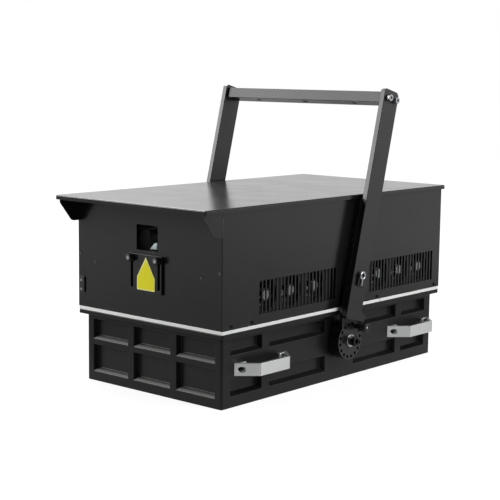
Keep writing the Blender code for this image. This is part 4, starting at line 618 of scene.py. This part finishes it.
def thumb_screw(name, side):
    """A fluted knob with a dished end and a zinc insert, on its shank through the mask's slot."""
    spot = (side * THUMB_X, THUMB_Z)
    shank, knob, dish, insert = 0.0025, 0.0070, 0.0042, 0.0034
    tip, face = FRONT + 0.002, FRONT - 0.0064
    end = face - 0.009
    flutes, flute_depth = 16, 0.0006
    profile = [
        (0, tip), (shank, tip), (shank, face), (knob - 0.0008, face), (knob, face - 0.0008),
        (knob, end + 0.0013), (knob - 0.0004, end + 0.0004), (knob - 0.0011, end), (dish, end),
        (dish - 0.0006, end + 0.0008), (0, end + 0.0010),
    ]
    bm = turned(profile, 96, across_y, spot, flutes, flute_depth)
    piece("thumb_knob_" + name, bm, name + "_thumb", nylon, node="thumb_screw_" + name)
    low, high = end + 0.0012, end - 0.0002
    profile = [(0, low), (insert, low), (insert, high + 0.0005), (insert - 0.0006, high), (0, high)]
    piece("thumb_insert_" + name, turned(profile, 32, across_y, spot), name + "_thumb", zinc)


def index_spot(number):
    """Centre of one index hole in the yoke's frame, counted from the leg to the rear."""
    return (INDEX_RING * math.sin(HOLE_STEP * number), INDEX_RING * math.cos(HOLE_STEP * number))


def pull_knob(name, side):
    """The knob that draws the index pin: a dished cap with the pin's bright end in it."""
    spot = index_spot(PIN_HOLE)
    pin, bore, cap, dish, bright = 0.0024, 0.0055, 0.0083, 0.0050, 0.0022
    tip = PLATE_INNER + GAP
    rim = PLATE_OUTER + 0.0088
    floor, end = rim + 0.0095, rim + 0.0175
    profile = [
        (0, tip), (pin, tip), (pin, floor), (bore, floor), (bore, rim), (cap - 0.0005, rim),
        (cap, rim + 0.0006), (cap, end - 0.0016), (cap - 0.0004, end - 0.0005), (cap - 0.0012, end),
        (dish, end), (dish - 0.0005, end - 0.0012), (0, end - 0.0012),
    ]
    bm = turned(on_side(side, profile), 48, in_yoke, spot)
    piece("pull_cap_" + name, bm, name + "_pull", nylon, node="pull_knob_" + name)
    low, high = end - 0.0014, end - 0.0001
    profile = [(0, low), (bright, low), (bright, high - 0.0005), (bright - 0.0006, high), (0, high)]
    bm = turned(on_side(side, profile), 24, in_yoke, spot)
    piece("pull_pin_end_" + name, bm, name + "_pull", zinc)


def pivot_bolt(name, side):
    """The pivot's bright collar and the dark knurled socket head on it."""
    shank, rim, cap, key = 0.006, 0.0120, 0.0088, 0.0052
    knurls, knurl_depth = 36, 0.0002
    start, collar = TRAY_SIDE + 2 * GAP, PLATE_OUTER + GAP
    head = collar + 0.0025
    end = head + 0.0125
    profile = [
        (0, start), (shank, start), (shank, collar), (rim - 0.0005, collar), (rim, collar + 0.0005),
        (rim, head - 0.0006), (rim - 0.0006, head), (0, head),
    ]
    bm = turned(on_side(side, profile), 64, across_x, PIVOT)
    piece("pivot_collar_" + name, bm, "housing", zinc, node="pivot_bolt_" + name)
    profile = [
        (0, head), (cap - 0.0002, head), (cap, head + 0.0003), (cap, end - 0.0009),
        (cap - 0.0009, end), (0, end),
    ]
    bm = turned(on_side(side, profile), 72, across_x, PIVOT, knurls, knurl_depth)
    made = piece("pivot_head_" + name, bm, "housing", black_oxide, node="pivot_bolt_" + name)
    hexagon_socket(made, key, *between(side, end - 0.006, end + 0.001), across_x, PIVOT)


def index_plate(name, side):
    """The drilled index plate that turns with its leg, with the knob's barrel."""
    barrel, barrel_height = 0.0047, 0.009
    start = math.asin(LEG_REAR / INDEX_RADIUS)
    steps = 96
    turns = [start + (INDEX_SHOULDER - start) * i / steps for i in range(steps + 1)]
    outline = [(INDEX_RADIUS * math.sin(turn), INDEX_RADIUS * math.cos(turn)) for turn in turns]
    outline += [
        (LEG_FRONT, INDEX_THROAT), (LEG_FRONT, INDEX_TONGUE - INDEX_CORNER),
        (LEG_FRONT + INDEX_CORNER, INDEX_TONGUE), (LEG_REAR - INDEX_CORNER, INDEX_TONGUE),
        (LEG_REAR, INDEX_TONGUE - INDEX_CORNER),
    ]
    holes = [circle(INDEX_HOLE, 24, index_spot(i)) for i in range(HOLE_COUNT) if i != PIN_HOLE]
    pin = circle(PIN_BORE, 24, index_spot(PIN_HOLE))
    low, high = between(side, PLATE_INNER, PLATE_OUTER)
    bm = plate([outline, circle(BOLT_BORE, 48), pin] + holes, low, high, in_yoke)
    piece("index_disc_" + name, bm, "yoke", yoke_paint, 0.3, 40, 2, "index_plate_" + name)
    low, high = between(side, PLATE_OUTER, PLATE_OUTER + barrel_height)
    bm = plate([circle(barrel, 36, index_spot(PIN_HOLE)), pin], low, high, in_yoke)
    piece("index_barrel_" + name, bm, "yoke", black_oxide, 0.3, node="index_plate_" + name)


def pivot_boss(name, side):
    """The fixed boss behind the index plate, with its ring of detent holes."""
    holes = []
    for i in range(HOLE_COUNT):
        turn = LEAN + HOLE_STEP * (i + 1)
        spot = (PIVOT[0] + INDEX_RING * math.sin(turn), PIVOT[1] + INDEX_RING * math.cos(turn))
        holes.append(circle(BOSS_HOLE, 16, spot))
    low, high = between(side, TRAY_SIDE + GAP, PLATE_INNER - GAP)
    bm = plate([circle(BOSS_RADIUS, 96, PIVOT), circle(BOLT_BORE, 48, PIVOT)] + holes, low, high, across_x)
    piece("boss_" + name, bm, "housing", tray_paint, 0.5, 40, 2, "pivot_boss_" + name)


def yoke_screw(name, end, side, height, look):
    """One of the cap screws that hold a leg to the crossbar."""
    shank, cap, length, key = 0.004, 0.0065, 0.018, 0.0034
    knurls, knurl_depth = 36, 0.0002
    step = -YOKE_SCREW_STEP if end == "front" else YOKE_SCREW_STEP
    spot = ((LEG_FRONT + LEG_REAR) / 2 + step, YOKE_SCREW_HEIGHT)
    head = LEG_OUTER + GAP
    top = head + height
    edge = min(0.0008, height * 0.3)
    profile = [
        (0, head - length), (shank, head - length), (shank, head), (cap - 0.0002, head),
        (cap, head + 0.0002), (cap, top - edge), (cap - edge, top), (0, top),
    ]
    bm = turned(on_side(side, profile), 72, in_yoke, spot, knurls, knurl_depth)
    made = piece("cap_screw_%s_%s" % (name, end), bm, "yoke", look, node="yoke_screw_%s_%s" % (name, end))
    hexagon_socket(made, key, *between(side, top - 0.004, top + 0.001), in_yoke, spot)


def safety_eye():
    """A bright forged eye on a small black plate."""
    face = LEG_OUTER + GAP
    top = face + 0.004
    base, width, height, corner = (-0.011, 0.115), 0.030, 0.024, 0.003
    wire, ring = 0.0021, 0.0062
    middle = (-0.017, 0.123)
    depth = top + wire * 0.6
    foot = middle[1] - 0.0195
    bm = plate([rounded(width, height, corner, base, 5)], face, top, in_yoke)
    piece("eye_plate", bm, "yoke", yoke_paint, 0.5, 40, 2, "safety_eye")
    bm = bmesh.new()
    around, across = 48, 16
    loops = []
    for i in range(around):
        turn = 2 * math.pi * i / around
        loop = []
        for r, x in circle(wire, across, (ring, depth)):
            a, b = middle[0] + r * math.cos(turn), middle[1] + r * math.sin(turn)
            loop.append(bm.verts.new(in_yoke(a, b, x)))
        loops.append(loop)
    for i in range(around):
        near, far = loops[i], loops[(i + 1) % around]
        for j in range(across):
            k = (j + 1) % across
            bm.faces.new((near[j], near[k], far[k], far[j]))
    plate([circle(wire * 1.15, 20, (depth, middle[0]))], foot, middle[1] - ring, up_yoke, bm)
    piece("forged_eye", bm, "yoke", zinc, node="safety_eye")


def marker_plate():
    """A blank enamelled plate on the mask, yellow with a paler rim."""
    middle, foot, shoulder, apex, half = 0.002, 0.1900, 0.2130, 0.2495, 0.0220
    rim, thickness, ease_mm = 0.0022, 0.0005, 0.1
    outline = [(middle - half, foot), (middle + half, foot), (middle + half, shoulder), (middle, apex),
               (middle - half, shoulder)]
    bm = plate([outline], MASK_FACE - thickness, MASK_FACE, across_y)
    piece("marker_plate_rim", bm, "mask", yellow_edge, ease_mm)
    inner, inner_shoulder = half - rim, shoulder - rim * 0.3
    field = [(middle - inner, foot + rim), (middle + inner, foot + rim), (middle + inner, inner_shoulder),
             (middle, apex - rim * 2.2), (middle - inner, inner_shoulder)]
    bm = plate([field], MASK_FACE - thickness - 0.0002, MASK_FACE - thickness + 0.0001, across_y)
    piece("marker_plate_field", bm, "mask", yellow_plate, ease_mm)


def hub_discs():
    """A plain foil disc on each fan's hub."""
    top = HUB_FACE + HUB_FOIL
    profile = [(0, HUB_FACE), (HUB_RADIUS, HUB_FACE), (HUB_RADIUS, top), (0, top)]
    for number, y in enumerate(FAN_ROWS, 1):
        bm = turned(profile, 40, across_x, (y, FAN_HEIGHT))
        piece("hub_disc_%d" % number, bm, "fan_%d" % number, hub_foil)


def contact_pins():
    """Blades of the mains inlet and the pins of the signal sockets."""
    inlet_x, pins_x, holes_x, data_x = 0.128, -0.030, -0.075, -0.125
    ring, pitch, half_row = 0.0045, 0.00276, 0.00142
    bm = bmesh.new()
    for x, z in ((-0.007, -0.0015), (0.0, 0.0025), (0.007, -0.0015)):
        blade = rounded(0.0022, 0.0045, 0.0005, (inlet_x + x, POWER_HEIGHT + z))
        plate([blade], REAR_FACE - 0.0195, REAR_FACE - 0.004, across_y, bm)
    piece("inlet_blades", bm, "housing", zinc, 0.15)
    bm = bmesh.new()
    for turn in (90, 210, 330):
        a, b = ring * math.cos(math.radians(turn)), ring * math.sin(math.radians(turn))
        pin = circle(0.0012, 16, (pins_x + a, SIGNAL_HEIGHT + b))
        plate([pin], REAR_FACE - 0.0145, REAR_FACE - 0.002, across_y, bm)
        contact = circle(0.0013, 16, (holes_x - a, SIGNAL_HEIGHT - b))
        plate([contact], REAR_FACE - 0.0025, REAR_FACE - 0.0018, across_y, bm)
    for row, count in ((1, 13), (-1, 12)):
        for i in range(count):
            spot = (data_x + (i - (count - 1) / 2) * pitch, SIGNAL_HEIGHT + row * half_row)
            plate([circle(0.0006, 10, spot)], REAR_FACE + 0.0064, REAR_FACE + 0.0067, across_y, bm)
    piece("signal_pins", bm, "housing", gold_flash)


def mirror_guard():
    """The bright gusset beside the scanner's first mirror, seen through the aperture."""
    near, far, ease_mm = -0.3180, -0.3162, 0.1
    corners = [(-0.0073, 0.2606), (0.0104, 0.2615), (0.0104, 0.2737), (0.0046, 0.2725)]
    piece("mirror_guard", plate([corners], near, far, across_y), "housing", zinc_sheet, ease_mm)


def panel_screws():
    """The small screws of the hood, the handles and the rear plates."""
    hood_row, rear_edge, plate_pair = 0.1455, 0.168, 0.0115
    plate_face, cover_face, cover_x = REAR_FACE + 0.002, FRONT - GAP - 0.0025, -0.169
    forwards, backwards = (0, -1, 0), (0, 1, 0)
    hood, front, cover, handle, rear = [], [], [], [], []
    for side in (1, -1):
        outwards = (side, 0, 0)
        for y in (-0.309, -0.255, 0.1145, 0.3145):
            hood.append(((side * HALF_WIDTH, y, hood_row), outwards))
        for middle in HANDLE_PLACES:
            for along in (-HANDLE_REACH, HANDLE_REACH):
                for up in (-HANDLE_PAIR, HANDLE_PAIR):
                    handle.append(((side * STRAP_FACE, middle + along, HANDLE_HEIGHT + up), outwards))
        for x, z in ((0.132, 0.2265), (0.1735, 0.2387)):
            front.append(((side * x, FRONT, z), forwards))
        for z in (0.152, 0.244, 0.336):
            rear.append(((side * rear_edge, HALF_LENGTH, z), backwards))
    for z in (0.1725, 0.1893):
        cover.append(((cover_x, cover_face, z), forwards))
    for ends, z in (((0.018, 0.146), POWER_HEIGHT), ((-0.153, -0.002), SIGNAL_HEIGHT)):
        for x in ends:
            for up in (-plate_pair, plate_pair):
                rear.append(((x, plate_face, z + up), backwards))
    screws("hood_screws", hood, black_oxide, HOOD_SCREW)
    screws("front_screws", front, dull_nickel, SMALL_SCREW)
    screws("edge_cover_screws", cover, zinc, SMALL_SCREW)
    screws("handle_screws", handle, zinc, HANDLE_SCREW)
    screws("rear_screws", rear, black_oxide, SMALL_SCREW)


mirror_guard()
# The yoke screws on the left have low dark heads, since nothing is seen to stand out there
for name, side, height, look in (("right", 1, 0.008, zinc), ("left", -1, 0.0018, black_oxide)):
    thumb_screw(name, side)
    pull_knob(name, side)
    pivot_bolt(name, side)
    index_plate(name, side)
    pivot_boss(name, side)
    for end in ("front", "rear"):
        yoke_screw(name, end, side, height, look)
safety_eye()
marker_plate()
hub_discs()
contact_pins()
panel_screws()


def stage_camera():
    """The camera at the photograph's viewing angle."""
    back = Vector((math.sin(AZIMUTH) * math.cos(ELEVATION), -math.cos(AZIMUTH) * math.cos(ELEVATION),
                   math.sin(ELEVATION)))
    level = Vector((math.cos(AZIMUTH), math.sin(AZIMUTH), 0.0))
    upright = back.cross(level)
    right = level * math.cos(ROLL) + upright * math.sin(ROLL)
    up = upright * math.cos(ROLL) - level * math.sin(ROLL)
    lens = bpy.data.cameras.new("camera")
    lens.sensor_width = SENSOR_MM
    lens.lens = FOCAL_PIXELS / PHOTO_WIDTH * SENSOR_MM
    lens.clip_end = 50.0
    camera = bpy.data.objects.new("camera", lens)
    turn = Matrix((right, up, back)).transposed().to_4x4()
    camera.matrix_world = Matrix.Translation(CAMERA_PLACE) @ turn
    bpy.context.scene.collection.objects.link(camera)
    bpy.context.scene.camera = camera


def ray_kinds(tree):
    """Whether the eye sees a point, straight or through glass, and whether a reflection does."""
    path = add(tree, "ShaderNodeLightPath")
    clear = add(tree, "ShaderNodeMath", {"operation": "MAXIMUM"}, {
        0: path.outputs["Is Camera Ray"], 1: path.outputs["Is Transmission Ray"]})
    return clear.outputs[0], path.outputs["Is Glossy Ray"]


def stage_floor():
    """A pale floor that keeps the projector's shadow, with painted shade round the projector and painted
    reflections.
    """
    radius, drop = 12.0, 0.0002
    near, away, shaded_floor_level = 0.6, 2.2, 0.88
    bm = bmesh.new()
    bmesh.ops.create_circle(bm, cap_ends=True, segments=64, radius=radius)
    floor = shape("floor", bm)
    floor.location.z = -drop
    made, tree, shader, point = start_material("pale_paper_floor", {
        "Base Color": "#7c7c7c", "Roughness": 0.9, "Specular IOR Level": 0.0})
    clear, glossy = ray_kinds(tree)
    reach = add(tree, "ShaderNodeVectorMath", {"operation": "LENGTH"}, {0: point}).outputs["Value"]
    to_rear = add(tree, "ShaderNodeSeparateXYZ", links={"Vector": point}).outputs["Y"]
    # To the eye it is white, with painted shade greying it a little near the projector
    painted_shade = add(tree, "ShaderNodeMapRange", {"From Min": near, "From Max": away, "To Min": shaded_floor_level},
               {"Value": reach})
    seen = add(tree, "ShaderNodeMath", {"operation": "MULTIPLY"}, {0: clear, 1: painted_shade.outputs[0]})
    # In reflections it is grey: painted reflections, brighter far out, to the rear and close to the tray,
    # with painted shade between
    painted_reflections = []
    for source, start, end, low, high in (
            (reach, 0.6, 3.0, 0.15, 0.32), (to_rear, 0.5, 2.1, 0.0, 0.32), (reach, 0.45, 0.72, 0.32, 0.0)):
        painted_reflection = add(tree, "ShaderNodeMapRange", {
            "interpolation_type": "SMOOTHSTEP", "From Min": start, "From Max": end, "To Min": low,
            "To Max": high}, {"Value": source})
        painted_reflections.append(painted_reflection.outputs[0])
    far = add(tree, "ShaderNodeMath", {"operation": "ADD"}, {0: painted_reflections[0], 1: painted_reflections[1]})
    lit = add(tree, "ShaderNodeMath", {"operation": "ADD"}, {0: far.outputs[0], 1: painted_reflections[2]})
    shone = add(tree, "ShaderNodeMath", {"operation": "MULTIPLY"}, {0: lit.outputs[0], 1: glossy})
    level = add(tree, "ShaderNodeMath", {"operation": "MAXIMUM"}, {0: seen.outputs[0], 1: shone.outputs[0]})
    white = add(tree, "ShaderNodeEmission", {"Color": (1, 1, 1, 1)}, {"Strength": level.outputs[0]})
    both = add(tree, "ShaderNodeAddShader", links={0: shader.outputs[0], 1: white.outputs[0]})
    tree.links.new(both.outputs[0], tree.nodes["Material Output"].inputs["Surface"])
    floor.data.materials.append(made)


def stage_world():
    """White to the eye; reflections see the white sweep behind and a dim room in front."""
    dim = 0.10
    world = bpy.data.worlds.new("studio")
    bpy.context.scene.world = world
    world.use_nodes = True
    tree = world.node_tree
    backdrop = tree.nodes["Background"]
    clear, glossy = ray_kinds(tree)
    way = add(tree, "ShaderNodeTexCoord")
    axis = add(tree, "ShaderNodeSeparateXYZ", links={"Vector": way.outputs["Generated"]})
    behind = add(tree, "ShaderNodeMapRange",
                 {"interpolation_type": "SMOOTHSTEP", "From Min": -0.1, "From Max": 0.35},
                 {"Value": axis.outputs["Y"]})
    low = add(tree, "ShaderNodeMapRange",
              {"interpolation_type": "SMOOTHSTEP", "From Min": 0.58, "From Max": 0.34},
              {"Value": axis.outputs["Z"]})
    sweep = add(tree, "ShaderNodeMath", {"operation": "MULTIPLY"},
                {0: behind.outputs[0], 1: low.outputs[0]})
    shone = add(tree, "ShaderNodeMapRange", {"To Min": dim}, {"Value": sweep.outputs[0]})
    gloss = add(tree, "ShaderNodeMath", {"operation": "MULTIPLY"}, {0: shone.outputs[0], 1: glossy})
    seen = add(tree, "ShaderNodeMath", {"operation": "MAXIMUM"}, {0: clear, 1: gloss.outputs[0]})
    level = add(tree, "ShaderNodeMath", {"operation": "MAXIMUM", 1: dim}, {0: seen.outputs[0]})
    tree.links.new(level.outputs[0], backdrop.inputs["Strength"])
    backdrop.inputs["Color"].default_value = (1, 1, 1, 1)


def softbox(name, place, aim, size, power):
    """One rectangular soft light, aimed at a point, with its power in watts."""
    light = bpy.data.lights.new(name, "AREA")
    light.shape = "RECTANGLE"
    light.size, light.size_y = size
    light.energy = power
    lamp = bpy.data.objects.new(name, light)
    lamp.location = place
    lamp.rotation_euler = (Vector(place) - Vector(aim)).to_track_quat("Z", "Y").to_euler()
    bpy.context.scene.collection.objects.link(lamp)


stage_camera()
stage_floor()
stage_world()
softbox("front_left", (-1.9, -2.1, 1.35), (0, 0, 0.25), (2.2, 1.4), 72)
softbox("rear_right", (2.1, 0.6, 1.6), (0, -0.1, 0.2), (1.5, 1.1), 55)
softbox("high_left", (-1.55, 0.6, 1.75), (0, 0, 0.15), (1.3, 1.1), 40)

settings = bpy.context.scene.view_settings
settings.view_transform = "Standard"
